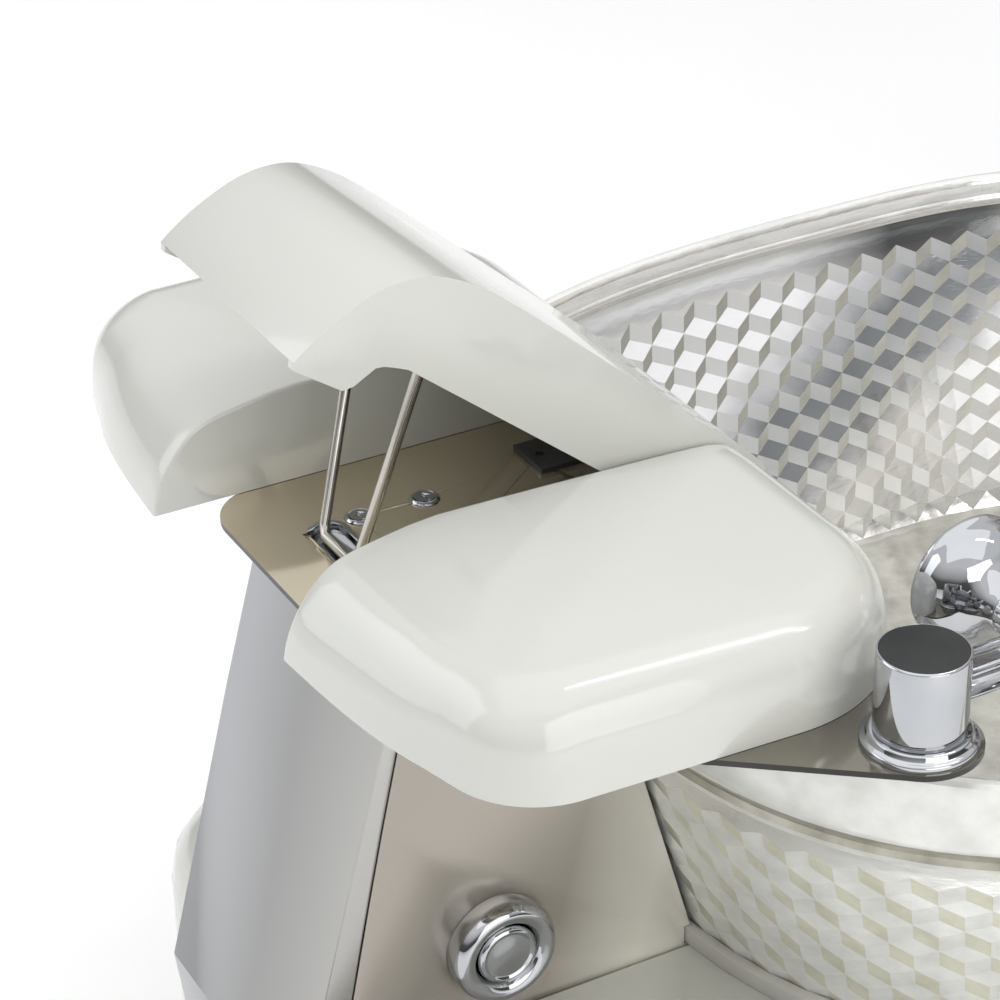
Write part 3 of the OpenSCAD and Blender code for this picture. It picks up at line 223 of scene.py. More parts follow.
def facet(name, tint, rough, metal, wave):
    """A cast facet of the bowl; tint makes its colour in the material's tree."""
    m, tree, shader = new_material(name)
    v = object_coords(tree)
    link(tree, shader, "Base Color", tint(tree))
    link(tree, shader, "Roughness", spread(tree, noise(tree, v, 90.0, 3), rough * 0.7, rough * 1.3))
    shader.inputs["Metallic"].default_value = metal
    coat(shader, 0.3, 0.05)
    bump(tree, shader, noise(tree, object_coords(tree, (1, 1, 4)), 150.0, 4), wave, 0.0012)
    return m


# Where the painted reflection bands lie: tint ramps down the inner wall and along the upper band.
wall_slope, wall_start = (0, 1.7, -2.867), 1.7207
band_slope, band_start = (0, 3.333, 0), 1.0787


def facet_with_painted_band(name, stops, rough, metal, wave, slope=wall_slope, start=wall_start, waver=0.10):
    """Facet of the bowl's inside with a painted reflection: a dark band painted across the wall."""
    def tint(tree):
        cloud = noise(tree, object_coords(tree), 26.0, 4)
        return ramp(tree, along(tree, slope, spread(tree, cloud, start - waver, start + waver)), stops)

    return facet(name, tint, rough, metal, wave)


def relief_facet(name, dark, light, rough, metal, wave):
    """Facet with one clouded tint all over."""
    def tint(tree):
        return ramp(tree, noise(tree, object_coords(tree), 60.0, 4), [(0.3, dark), (0.65, light)])

    return facet(name, tint, rough, metal, wave)


stitch_out, stitch_half, stitch_step, stitch_share = 0.0045, 0.0006, 0.0062, 0.68
# Half the width of the painted shade line along each channel's crease.
crease_shade_half = 0.0012
blend_under, blend_over, blend_out = 6, 7, 2  # the mix node's colour sockets


def stitched_hide(name, place, pitch, thick):
    """Grained hide with stitches on both sides of each sewn channel, pitch apart along the cushion, and
    painted shade along each channel's crease.
    """
    m, tree, shader = new_material(name)
    back = place.inverted()
    coords = tree.nodes.new("ShaderNodeTexCoord")
    laid = tree.nodes.new("ShaderNodeMapping")
    laid.inputs["Location"].default_value = back.translation
    laid.inputs["Rotation"].default_value = back.to_euler()
    tree.links.new(coords.outputs["Object"], laid.inputs["Vector"])
    v = laid.outputs["Vector"]

    def sum_of(kind, a, b=None):
        n = tree.nodes.new("ShaderNodeMath")
        n.operation = kind
        for socket, value in zip(n.inputs, (a, b)):
            if isinstance(value, (int, float)):
                socket.default_value = value
            elif value is not None:
                tree.links.new(value, socket)
        return n.outputs[0]

    cells = tree.nodes.new("ShaderNodeTexVoronoi")
    cells.feature = "DISTANCE_TO_EDGE"
    cells.inputs["Scale"].default_value = 420.0
    tree.links.new(v, cells.inputs["Vector"])
    hide = ramp(tree, noise(tree, v, 9.0), [(0.3, (0.50, 0.43, 0.35)), (0.7, (0.58, 0.51, 0.43))])
    height = cells.outputs["Distance"]
    if pitch:
        split = tree.nodes.new("ShaderNodeSeparateXYZ")
        tree.links.new(v, split.inputs["Vector"])
        part = sum_of("FRACT", sum_of("ADD", sum_of("DIVIDE", split.outputs["Y"], pitch), 0.5))
        away = sum_of("MULTIPLY", sum_of("ABSOLUTE", sum_of("SUBTRACT", part, 0.5)), pitch)
        row = sum_of("LESS_THAN", sum_of("ABSOLUTE", sum_of("SUBTRACT", away, stitch_out)), stitch_half)
        step = sum_of("FRACT", sum_of("DIVIDE", split.outputs["X"], stitch_step))
        dash = sum_of("LESS_THAN", step, stitch_share)
        upper = sum_of("GREATER_THAN", split.outputs["Z"], thick * 0.55)
        thread = sum_of("MULTIPLY", sum_of("MULTIPLY", row, dash), upper)
        # Painted shade: a dark brown line along the bottom of each sewn channel's crease.
        crease_shade = sum_of("MULTIPLY", sum_of("LESS_THAN", away, crease_shade_half), upper)
        for mask, tone in ((crease_shade, (0.20, 0.16, 0.12, 1)), (thread, (0.80, 0.74, 0.64, 1))):
            blend = tree.nodes.new("ShaderNodeMix")
            blend.data_type = "RGBA"
            tree.links.new(mask, blend.inputs["Factor"])
            tree.links.new(hide, blend.inputs[blend_under])
            blend.inputs[blend_over].default_value = tone
            hide = blend.outputs[blend_out]
        height = sum_of("ADD", height, sum_of("MULTIPLY", thread, 0.9))
    link(tree, shader, "Base Color", hide)
    link(tree, shader, "Roughness", spread(tree, noise(tree, v, 30.0), 0.38, 0.55))
    shader.inputs["Coat Weight"].default_value = 0.1
    bump(tree, shader, height, 0.25, 0.0006)
    return m


finish = {
    "white_moulding": moulded_white(),
    # Side panels: painted reflection, dark brownish and pale beige bands, darker towards the top and the
    # front.
    "polished_steel": steel_with_painted_reflection(
        "panel_steel_painted_reflection", [(0, (0.36, 0.33, 0.295)), (0.36, (0.42, 0.39, 0.34)),
                                 (0.54, (0.93, 0.91, 0.84)), (1, (0.95, 0.94, 0.88))],
        rough=0.25, marks=(3, 3, 0.6), slope=(0, 3.0, -0.9), metal=0.6, start=2.45),
    # Front panel: painted reflection, bluish grey at the far side, grey in the middle, warm grey at the
    # near side.
    "front_steel": steel_with_painted_reflection(
        "front_steel_painted_reflection", [(0, (0.42, 0.44, 0.485)), (0.5, (0.285, 0.285, 0.285)),
                                 (1, (0.50, 0.49, 0.465))],
        rough=0.22, marks=(3, 3, 0.6), slope=(3.2, 0, 0), metal=1.0, start=0.5),
    # Deck plate: painted reflection, a bronze tone turning dark towards the near side.
    "deck_steel": steel_with_painted_reflection(
        "deck_steel_painted_reflection", [(0, (0.25, 0.235, 0.20)), (0.40, (0.68, 0.61, 0.46)),
                              (1, (0.60, 0.52, 0.385))],
        rough=0.09, marks=(1, 1, 1), slope=(-2.2, 0, 0), metal=0.72, start=0.5),
    "cut_edge": plain_finish("near_black_plate_edge", (0.018, 0.017, 0.016), (0.035, 0.034, 0.032),
                             0.3, 60.0, 0.2),
    "frame_paint": plain_finish("black_frame_paint", (0.03, 0.03, 0.032), (0.06, 0.06, 0.063), 0.4),
    "chrome": chrome_plate(),
    "stainless_wire": plain_finish("drawn_stainless_wire", (0.42, 0.40, 0.37), (0.55, 0.53, 0.50),
                                   0.22, 60.0, 1.0),
    "tap_insert": plain_finish("satin_tap_insert", (0.016, 0.017, 0.018), (0.032, 0.033, 0.034),
                               0.4, 60.0, gleam=0.3),
    "cast_bowl": cast_acrylic(),
    "black_rubber": plain_finish("black_rubber", (0.015, 0.015, 0.015), (0.03, 0.03, 0.03), 0.8),
    "seal_rubber": plain_finish("pale_rubber_seal", (0.50, 0.49, 0.46), (0.58, 0.57, 0.54), 0.6),
    "drain_plastic": plain_finish("grey_drain_plastic", (0.20, 0.20, 0.21), (0.28, 0.28, 0.29), 0.45),
    "jet_plastic": plain_finish("white_jet_plastic", (0.68, 0.68, 0.67), (0.76, 0.76, 0.75), 0.2),
    "dark_plastic": plain_finish("dark_moulded_plastic", (0.02, 0.02, 0.022), (0.045, 0.045, 0.05), 0.5),
    "brass": plain_finish("plumbing_brass", (0.55, 0.40, 0.16), (0.68, 0.51, 0.24),
                          0.25, 40.0, 1.0),
    "rail_steel": plain_finish("zinc_plated_rail", (0.45, 0.45, 0.44), (0.58, 0.58, 0.57),
                               0.3, 50.0, 1.0),
    "upholstery": stitched_hide("plain_hide", Matrix.Identity(4), 0, 0),
    "roller_plastic": plain_finish("tan_roller_plastic", (0.45, 0.35, 0.22), (0.52, 0.42, 0.28), 0.4),
}
facet_finish = {
    # Upper-facing facets of the inner relief: painted shade and painted reflection, the deepest dark
    # band of all the facets.
    "top": facet_with_painted_band(
        "relief_upper_facet_painted_shade", [(0.18, (0.90, 0.90, 0.92)), (0.36, (0.17, 0.18, 0.19)),
                               (0.49, (0.24, 0.25, 0.26)), (0.59, (0.94, 0.94, 0.93))],
        rough=0.12, metal=0.6, wave=0.10, waver=0.07),
    # Left-facing facets: painted light, kept pale with only a mild painted reflection band.
    "left": facet_with_painted_band(
        "relief_left_facet_painted_light", [(0.20, (0.88, 0.89, 0.92)), (0.42, (0.58, 0.60, 0.62)),
                              (0.60, (0.92, 0.92, 0.92))],
        rough=0.14, metal=0.35, wave=0.06),
    # Plain band high on the inner wall: painted reflection, pale at the front, near black across the
    # middle, mid grey at the rear.
    "band": facet_with_painted_band(
        "upper_wall_painted_reflection", [(0.34, (0.86, 0.87, 0.89)), (0.62, (0.12, 0.125, 0.13)),
                            (0.84, (0.16, 0.165, 0.17)), (1.0, (0.62, 0.62, 0.61))],
        rough=0.12, metal=0.5, wave=0.12, slope=band_slope, start=band_start, waver=0.05),
    "bead": relief_facet("rim_bead", (0.30, 0.285, 0.23), (0.47, 0.455, 0.39),
                         rough=0.16, metal=0.5, wave=0.15),
    # Right-facing facets of the outer relief: painted shade, a darker beige than the outer facets that
    # face other ways.
    "outer_shaded": relief_facet("outer_right_facet_painted_shade", (0.60, 0.59, 0.48), (0.74, 0.725, 0.60),
                           rough=0.16, metal=0.15, wave=0.12),
    "clear": relief_facet("outer_clear_facet", (0.67, 0.68, 0.645), (0.80, 0.81, 0.78),
                          rough=0.14, metal=0.2, wave=0.12),
    "floor": relief_facet("bowl_floor_cast", (0.40, 0.39, 0.345), (0.56, 0.55, 0.50),
                          rough=0.18, metal=0.3, wave=0.12),
    # Right-facing facets: painted shade, a darker beige tone than the other facets, streaked down the
    # wall.
    "right": facet_with_painted_band(
        "relief_right_facet_painted_shade", [(0.15, (0.38, 0.375, 0.33)), (0.50, (0.66, 0.65, 0.59)),
                               (0.75, (0.84, 0.83, 0.77))],
        rough=0.22, metal=0.2, wave=0.5, waver=0.3),
}
slot_of = {p["node"]: p["material_slot"] for p in frame["record"]["subparts"]}
body_of = {n: b for b, names in frame["record"]["behaviour"]["bodies"].items() for n in names}


def paint(obj, material):
    obj.data.materials.clear()
    obj.data.materials.append(material)


for name, node in frame["nodes"].items():
    for slot in node.material_slots:
        slot.material = finish[slot_of[name]]
    if not node.material_slots:
        node.data.materials.append(finish[slot_of[name]])


# ---------- modelling helpers ----------
def only(obj):
    bpy.ops.object.select_all(action="DESELECT")
    obj.select_set(True)
    bpy.context.view_layer.objects.active = obj


def edit(obj, mode="FACE"):
    """Goes into edit mode with the whole mesh selected."""
    only(obj)
    bpy.ops.object.mode_set(mode="EDIT")
    bpy.ops.mesh.select_mode(type=mode)
    bpy.ops.mesh.select_all(action="SELECT")


def leave():
    bpy.ops.object.mode_set(mode="OBJECT")


def settle(obj):
    only(obj)
    bpy.ops.object.transform_apply(location=True, rotation=True, scale=True)


def apply_all(obj):
    only(obj)
    for m in list(obj.modifiers):
        bpy.ops.object.modifier_apply(modifier=m.name)


def pick(obj, mode, kind, test):
    """Selects the elements of one kind that pass the test, and ends in edit mode."""
    leave()
    for elements in (obj.data.polygons, obj.data.edges, obj.data.vertices):
        elements.foreach_set("select", [False] * len(elements))
    bpy.ops.object.mode_set(mode="EDIT")
    bpy.ops.mesh.select_mode(type=mode)
    leave()
    for element in getattr(obj.data, kind):
        element.select = bool(test(element))
    bpy.ops.object.mode_set(mode="EDIT")


def pick_faces(obj, test):
    pick(obj, "FACE", "polygons", test)


def pick_edges(obj, test):
    """As pick_faces; the test gets the places of an edge's two ends."""
    pick(obj, "EDGE", "edges", lambda e: test(*(obj.data.vertices[i].co for i in e.vertices)))


def pick_verts(obj, test):
    pick(obj, "VERT", "vertices", test)


def outline_face(name, points):
    """A flat face whose corners are put, one by one, at the points given in metres."""
    bpy.ops.object.select_all(action="DESELECT")
    bpy.ops.mesh.primitive_circle_add(vertices=len(points), fill_type="NGON")
    obj = bpy.context.object
    obj.name = obj.data.name = name
    for v, p in zip(obj.data.vertices, points):
        v.co = p
    return obj


def turn_outward(obj):
    edit(obj)
    bpy.ops.mesh.normals_make_consistent(inside=False)
    leave()


def weld(obj, far):
    """Joins the corners that lie closer than far, and turns the skin outward."""
    edit(obj)
    bpy.ops.mesh.remove_doubles(threshold=far)
    bpy.ops.mesh.normals_make_consistent(inside=False)
    leave()


def face_up(obj):
    """Turns an open shell's skin outward when its highest face points down."""
    top = max(obj.data.polygons, key=lambda f: f.center.z)
    if top.normal.z < 0:
        edit(obj)
        bpy.ops.mesh.flip_normals()
        leave()


def soften(obj, edge, segments, angle):
    """Rounds the edges that are sharper than the angle."""
    m = obj.modifiers.new("soft_edges", "BEVEL")
    m.width = edge
    m.segments = segments
    m.limit_method = "ANGLE"
    m.angle_limit = math.radians(angle)
    m.use_clamp_overlap = True
    apply_all(obj)


shell_wall = 0.005


def thicken(obj):
    """Gives an open shell its wall, inward from the skin."""
    wall = obj.modifiers.new("wall", "SOLIDIFY")
    wall.thickness = shell_wall
    wall.offset = -1
    apply_all(obj)


def smooth(obj, angle):
    """Shades smoothly across the edges that are flatter than the angle."""
    only(obj)
    bpy.ops.object.shade_smooth_by_angle(angle=math.radians(angle))


def loft(name, rings, first=False, last=False):
    """A ring extruded ring by ring, each corner put in its place, and its ends filled where asked."""
    count = len(rings[0])
    bpy.ops.object.select_all(action="DESELECT")
    bpy.ops.mesh.primitive_circle_add(vertices=count, fill_type="NOTHING")
    obj = bpy.context.object
    obj.name = obj.data.name = name
    edit(obj, "EDGE")
    for ring in rings[1:]:
        bpy.ops.mesh.extrude_region_move(TRANSFORM_OT_translate={"value": (0, 0, 0.01)})
    leave()
    for v, p in zip(obj.data.vertices, [p for ring in rings for p in ring]):
        v.co = p
    for wanted, start in ((first, 0), (last, count * (len(rings) - 1))):
        if wanted:
            pick_verts(obj, lambda v: start <= v.index < start + count)
            bpy.ops.mesh.edge_face_add()
            leave()
    turn_outward(obj)
    return obj


def stand_whole(obj, node):
    """As stand_for, for a piece that brings its own finishes."""
    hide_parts(node)
    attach(obj, body_of[node])
    return obj


def stand_for(obj, node, material=None):
    """The piece takes the node's finish and place in the frame and moves with its body."""
    paint(obj, material or finish[slot_of[node]])
    return stand_whole(obj, node)


def copy_of(src, name):
    """A copy with its own mesh and none of the marks of the first."""
    obj = src.copy()
    obj.data = src.data.copy()
    for key in list(obj.keys()):
        del obj[key]
    obj.name = obj.data.name = name
    bpy.context.collection.objects.link(obj)
    return obj


def skin_of(node, edge=0.0, angle=32):
    """The node's own skin, welded and with its edges softened."""
    obj = copy_of(frame["nodes"][node], node + "_skin")
    obj.parent = None
    obj.matrix_world = Matrix.Identity(4)
    edit(obj)
    bpy.ops.mesh.remove_doubles(threshold=2e-6)
    bpy.ops.mesh.dissolve_limited(angle_limit=math.radians(0.6))
    leave()
    if edge:
        soften(obj, edge, 2, angle)
    smooth(obj, angle)
    return stand_for(obj, node)


turned_sides = 96


def turned(node, profile, place, axis, closed=False):
    """A turned piece: each corner of the profile, as radius and height in mm, is a ring."""
    axis = Vector(axis)
    across = axis.orthogonal().normalized()
    beyond = axis.cross(across)
    turns = [2 * math.pi * k / turned_sides for k in range(turned_sides)]
    rings = [[place + (axis * h + across * r * math.cos(t) + beyond * r * math.sin(t)) / 1000
              for t in turns] for r, h in profile + (profile[:1] if closed else [])]
    obj = loft(node + "_skin", rings, first=not closed, last=not closed)
    weld(obj, 1e-7)
    soften(obj, 0.0003, 2, 24)
    smooth(obj, 40)
    return stand_for(obj, node)


def paint_edges(obj):
    """The plate's edge faces are coloured near black, darker than its polished faces."""
    obj.data.materials.append(finish["cut_edge"])
    pick_faces(obj, lambda f: abs(f.normal.z) < 0.5)
    obj.active_material_index = 1
    bpy.ops.object.material_slot_assign()
    leave()


def arc(cx, cy, r, a0, a1, n):
    """Points round a centre from one angle to another, in n steps."""
    return [(cx + r * math.cos(math.radians(a0 + (a1 - a0) * k / n)),
             cy + r * math.sin(math.radians(a0 + (a1 - a0) * k / n))) for k in range(n + 1)]


def eased(points, fine):
    """A smooth curve through the points, with so many steps between each two."""
    out = []
    for k in range(len(points) - 1):
        quad = points[max(k - 1, 0)], points[k], points[k + 1], points[min(k + 2, len(points) - 1)]
        for i in range(fine):
            t = i / fine
            out.append(tuple(0.5 * (2 * b + (c - a) * t + (2 * a - 5 * b + 4 * c - d) * t * t
                                    + (3 * b - a - 3 * c + d) * t ** 3) for a, b, c, d in zip(*quad)))
    return out + [points[-1]]


# ---------- footrest wings ----------
wing_levels = [(0.3, 0), (13, 0.7), (27, 2.8), (37, 6.5), (44.5, 12), (49.5, 19), (52, 27), (52.6, 33)]
wing_crown = [(0.93, 52.9), (0.85, 53.1), (0.72, 53.3), (0.55, 53.4), (0.35, 53.5), (0.15, 53.6)]
roll_from, roll_run, roll_drop = 58, 60, 5.5
fall_from, fall_rate = 50, 0.022
fall_foot, fall_height = 20, 30


def wing_fall(y, z):
    """How far the top drops towards the front edge's roll and, gently, towards the rear."""
    near = min(1, max(0, (roll_from - y) / roll_run))
    high = max(0, (z - fall_foot) / fall_height)
    return high * (roll_drop * near * near * (3 - 2 * near) + fall_rate * max(0, y - fall_from))


wing_inner, wing_rear, wing_middle = 75, 230, 101
wing_front = [(wing_inner, -26.5), (105, -24.5), (135, -21.5), (163, -17), (187, -10.5)]
wing_rear_xs = (148, 130, 112, 93, wing_inner)
front_corner, front_corner_r = (195, 39), 46
rear_corner, rear_corner_r = (163, 148), 82
side_lean = -1.7
lean_back, lean_depth, lean_lost, lean_from, lean_run = 10, 2.5, 0.65, 95, 92


def wing_plan(d):
    """Outline of a wing at the level that stands d inside its foot; the front slopes back faster."""
    back_off = lean_back * (1 - math.exp(-d / lean_depth))
    front = [(x, y + d + back_off * (1 - lean_lost * min(1, max(0, (x - lean_from) / lean_run))))
             for x, y in eased(wing_front, 2)]
    return (front + arc(*front_corner, front_corner_r - d, -75, side_lean, 20)
            + arc(*rear_corner, rear_corner_r - d, side_lean, 90, 28)
            + [(x, wing_rear - d) for x in wing_rear_xs])


def wing(node, side):
    """A thin shell, open below, lofted level by level and closed with a gently crowned top."""
    rings = [[(x, y, z) for x, y in wing_plan(d)] for z, d in eased(wing_levels, 3)]
    top_plan = wing_plan(wing_levels[-1][1])
    for k, z in wing_crown:
        rings.append([(wing_inner + (x - wing_inner) * k, wing_middle + (y - wing_middle) * k, z)
                      for x, y in top_plan])
    rings = [[local(side * x, y, z - wing_fall(y, z)) for x, y, z in ring] for ring in rings]
    obj = loft(node + "_skin", rings, last=True)
    face_up(obj)
    pick_faces(obj, lambda f: abs(f.normal.x) > 0.99 and abs(f.center.x) * 1000 < wing_inner + 0.1)
    bpy.ops.mesh.dissolve_faces()
    leave()
    soften(obj, 0.0022, 3, 50)
    thicken(obj)
    smooth(obj, 40)
    return stand_for(obj, node)


# ---------- centre footrest ----------
rest_curve = [(-42, -19), (-40.5, -12), (-37, 0), (-31.5, 13), (-25, 25), (-16, 35.5), (-5, 43.5),
              (8, 48), (24, 50.6), (42, 51), (66, 50.4), (90, 49.5), (150, 47), (190, 45.3), (218, 44),
              (226, 42.4), (231, 38.5), (232, 33)]
rest_under = [(232, 17), (222, 7), (183, 2.2), (13, 2.2), (7, 0.6), (0.5, -1.6), (-3, -4), (-8, -16),
              (-12, -20), (-40, -22)]
rest_half = 73.5
rest_hinge = (0, 208, 21)
rest_raised = math.radians(-39)
boss_r, boss_long, boss_x = 0.011, 0.014, 64.5


def raise_footrest(obj):
    """Turns the footrest from its flat place up to where the prop holds it."""
    hinge = Matrix.Translation(local(*rest_hinge))
    obj.data.transform(hinge @ Matrix.Rotation(rest_raised, 4, "X") @ hinge.inverted())


def in_mm(place):
    """The reverse of local: millimetres from the deck plate's front edge and top face."""
    return (place - local(0, 0, 0)) * 1000


def rest_below(f):
    """The faces under the footrest, which is an open shell."""
    p = in_mm(f.center)
    under_nose = p.y < 14 and p.z < 2.4 and f.normal.y > -0.2
    return abs(f.normal.x) < 0.5 and (f.normal.z < -0.3 or under_nose) and p.z < 8


def rest_rim(a, b):
    """The edges along both sides of the footrest's top and nose."""
    a, b = in_mm(a), in_mm(b)
    at_side = abs(abs(a.x) - rest_half) < 0.01 and abs(a.x - b.x) < 0.01
    on_top = all(p.z > 33 or (p.y < -11.9 and p.z > -21) for p in (a, b))
    on_nose = max(a.y, b.y) < -10 and min(a.z, b.z) > -19.5
    return at_side and (on_top or on_nose)


def centre_footrest():
    """A side outline drawn out across the width, opened below, with rounded sides and bosses."""
    side = [local(-rest_half, y, z) for y, z in eased(rest_curve, 3) + rest_under]
    obj = outline_face("footrest_center_skin", side)
    edit(obj)
    bpy.ops.mesh.extrude_region_move(TRANSFORM_OT_translate={"value": (2 * rest_half / 1000, 0, 0)})
    leave()
    weld(obj, 2e-6)
    pick_faces(obj, rest_below)
    bpy.ops.mesh.delete(type="FACE")
    leave()
    pick_edges(obj, rest_rim)
    bpy.ops.mesh.bevel(offset=0.0052, segments=5, profile=0.5, clamp_overlap=True)
    leave()
    thicken(obj)
    soften(obj, 0.0008, 2, 60)
    smooth(obj, 40)
    for s in (-1, 1):
        bpy.ops.object.select_all(action="DESELECT")
        bpy.ops.mesh.primitive_cylinder_add(vertices=48, radius=boss_r, depth=boss_long,
                                            rotation=(0, math.pi / 2, 0),
                                            location=local(s * boss_x, *rest_hinge[1:]))
        boss = bpy.context.object
        settle(boss)
        smooth(boss, 40)
        obj.select_set(True)
        bpy.context.view_layer.objects.active = obj
        bpy.ops.object.join()
    raise_footrest(obj)
    return stand_for(obj, "footrest_center")


# ---------- bowl ----------
bowl_power = 2.85
bowl_mid, bowl_half, bowl_fore, bowl_aft = 541, 320, 389, 280
bowl_slope = math.tan(math.radians(15.6))
bowl_around = 162
wall_inset, wall_thick = 5, 10
slope_top, slope_fall = -104, 164
foot_inset = wall_inset + slope_fall * bowl_slope
relief_pitch, relief_lift, relief_lift_out = 11.9, 3.2, -0.7
rows_in, top_in = 16, -80.0
rows_out, top_out = 13, -110.0
foot_rings = [(36, -290), (14, -285), (4, -278), (0, -270)]
lip_rings = [(5, -108), (5.6, -104), (4, -101), (1.2, -97), (0, -93), (0, -62), (0.6, -59),
             (2.4, -57.2), (4.6, -57), (7, -57.6), (8.4, -59.4), (9, -62), (9.2, -69.5), (10.4, -71),
             (10.8, -73), (10, -75), (9.2, -77)]
floor_rings = [(10, -277), (20, -278), (60, -278), (110, -278)]
first_out = len(foot_rings)
lip = first_out + rows_out + 1
first_in = lip + len(lip_rings)
bowl_sides = ("top", "left", "right", "bead", "outer_shaded", "clear", "floor", "band")
drain_place, drain_r, drain_deep = (0, 521, -284), 0.024, 0.06


def rim_point(turn, inset, z):
    """Point of the bowl's rounded plan, drawn in by inset, at a height from the deck top."""
    c, s = math.cos(turn), math.sin(turn)
    px = math.copysign(abs(c) ** (2 / bowl_power), c)
    py = math.copysign(abs(s) ** (2 / bowl_power), s)
    deep = bowl_fore if s < 0 else bowl_aft
    return local((bowl_half - inset) * px, bowl_mid + (deep - inset) * py, z)


def even_turns(count):
    """Turning angles that share the rim's length evenly."""
    fine = 7200
    pts = [rim_point(2 * math.pi * k / fine, 30, -150) for k in range(fine + 1)]
    run = [0.0]
    for k in range(fine):
        run.append(run[-1] + (pts[k + 1] - pts[k]).length)
    out, k = [], 0
    for i in range(count):
        want = run[-1] * i / count
        while run[k + 1] < want:
            k += 1
        out.append(2 * math.pi * (k + (want - run[k]) / (run[k + 1] - run[k])) / fine)
    return out


bowl_turns = even_turns(bowl_around)


def bowl_ring(inset, z):
    return [rim_point(t, inset, z) for t in bowl_turns]


def corner_rank(i, j):
    """Of the corner at column i and row j of a relief: 0 raised, 1 sunk, 2 between."""
    return (i - j + i // 2) % 3


def relief_ring(j, skin, lift, rows, start):
    """One row of the relief: odd columns half a pitch lower, and corners raised or sunk by rank."""
    edge = j in (0, rows)
    ring = []
    for i, t in enumerate(bowl_turns):
        z = start - relief_pitch * (j + (0.25 if edge else 0.5 * (i % 2)))
        rise = 0 if edge else lift * (1, -1, 0)[corner_rank(i, j)]
        ring.append(rim_point(t, wall_inset + (slope_top - z) * bowl_slope + skin + rise, z))
    return ring


def relief_corner(index):
    """Column, row, rank and being at an edge, of a corner of either relief."""
    ring, i = divmod(index, bowl_around)
    if first_in <= ring <= first_in + rows_in:
        j, rows = ring - first_in, rows_in
    elif first_out <= ring <= first_out + rows_out:
        j, rows = rows_out - (ring - first_out), rows_out
    else:
        return None
    return i, j, corner_rank(i, j), j in (0, rows)


def split_across(face):
    """Which way a face of the relief is cut in two, as the tool names it."""
    spots = [relief_corner(v) for v in face.vertices]
    if len(spots) != 4 or None in spots:
        return None
    cols, rows = {p[0] for p in spots}, {p[1] for p in spots}
    left = max(cols) if cols == {0, bowl_around - 1} else min(cols)
    start = (left, min(rows)) if left % 2 else (left, max(rows))
    return "FIXED" if start in (spots[0][:2], spots[2][:2]) else "FIXED_ALTERNATE"


def facet_side(face):
    """The block side a facet belongs to, or None when it isn't part of the relief."""
    spots = [relief_corner(v) for v in face.vertices]
    if len(spots) != 3 or None in spots or any(p[3] for p in spots):
        return None
    high = next(p for p in spots if p[2] == 0)
    low = next(p for p in spots if p[2] == 1)
    if high[0] == low[0]:
        return "top"
    across = (high[0] - low[0] + 1) % bowl_around - 1
    drop = (high[1] + 0.5 * (high[0] % 2)) - (low[1] + 0.5 * (low[0] % 2))
    return "left" if across * drop > 0 else "right"


def paint_bowl(obj):
    """The relief's facets take painted shade and light by the way that they face, each side of the
    blocks its own tone; the rest is finished by its ring.
    """
    obj.data.materials.clear()
    for m in (finish["cast_bowl"], *(facet_finish[side] for side in bowl_sides)):
        obj.data.materials.append(m)

    def finish_as(side, test, flat=False):
        pick_faces(obj, test)
        obj.active_material_index = bowl_sides.index(side) + 1
        bpy.ops.object.material_slot_assign()
        if flat:
            bpy.ops.mesh.faces_shade_flat()
        leave()

    def within(f, low, high=math.inf):
        return all(low * bowl_around <= v < high * bowl_around for v in f.vertices)

    side_of = [facet_side(f) for f in obj.data.polygons]
    clear_rings = ((0, first_out + 1), (lip - 1, lip + 1), (lip + 3, lip + 9))
    finish_as("clear", lambda f: any(within(f, *rings) for rings in clear_rings))
    finish_as("bead", lambda f: within(f, lip, lip + 4))
    # The rings high on the inner wall take the painted reflection band.
    finish_as("band", lambda f: within(f, first_in - 1, first_in + 2))
    finish_as("floor", lambda f: within(f, first_in + rows_in) or len(f.vertices) > 4)
    # Painted shade by facing: inside, upper, left and right facets each get their own tone; outside,
    # right-facing facets get the darker beige.
    for side, outer in (("top", "clear"), ("left", "clear"), ("right", "outer_shaded")):
        finish_as(side, lambda f: side_of[f.index] == side and within(f, first_in), True)
        finish_as(outer, lambda f: side_of[f.index] == side and within(f, 0, lip), True)


def bowl():
    """Lofted from under the foot up the outer wall, over the lip and down the inner wall."""
    foot = [bowl_ring(foot_inset + d, z) for d, z in foot_rings]
    relief_out = [relief_ring(j, 0, relief_lift_out, rows_out, top_out)
                  for j in range(rows_out, -1, -1)]
    rim = [bowl_ring(d, z) for d, z in lip_rings]
    relief_in = [relief_ring(j, wall_thick, relief_lift, rows_in, top_in)
                 for j in range(rows_in + 1)]
    floor = [bowl_ring(foot_inset + wall_thick + d, z) for d, z in floor_rings]
    obj = loft("bowl_skin", foot + relief_out + rim + relief_in + floor, first=True, last=True)
    for way in ("FIXED", "FIXED_ALTERNATE"):
        pick_faces(obj, lambda f: split_across(f) == way)
        bpy.ops.mesh.quads_convert_to_tris(quad_method=way)
        leave()
    smooth(obj, 35)
    paint_bowl(obj)
    bpy.ops.object.select_all(action="DESELECT")
    bpy.ops.mesh.primitive_cylinder_add(vertices=64, radius=drain_r, depth=drain_deep,
                                        location=local(*drain_place))
    drill = bpy.context.object
    cut = obj.modifiers.new("drain_hole", "BOOLEAN")
    cut.object = drill
    apply_all(obj)
    only(drill)
    bpy.ops.object.delete()
    return obj


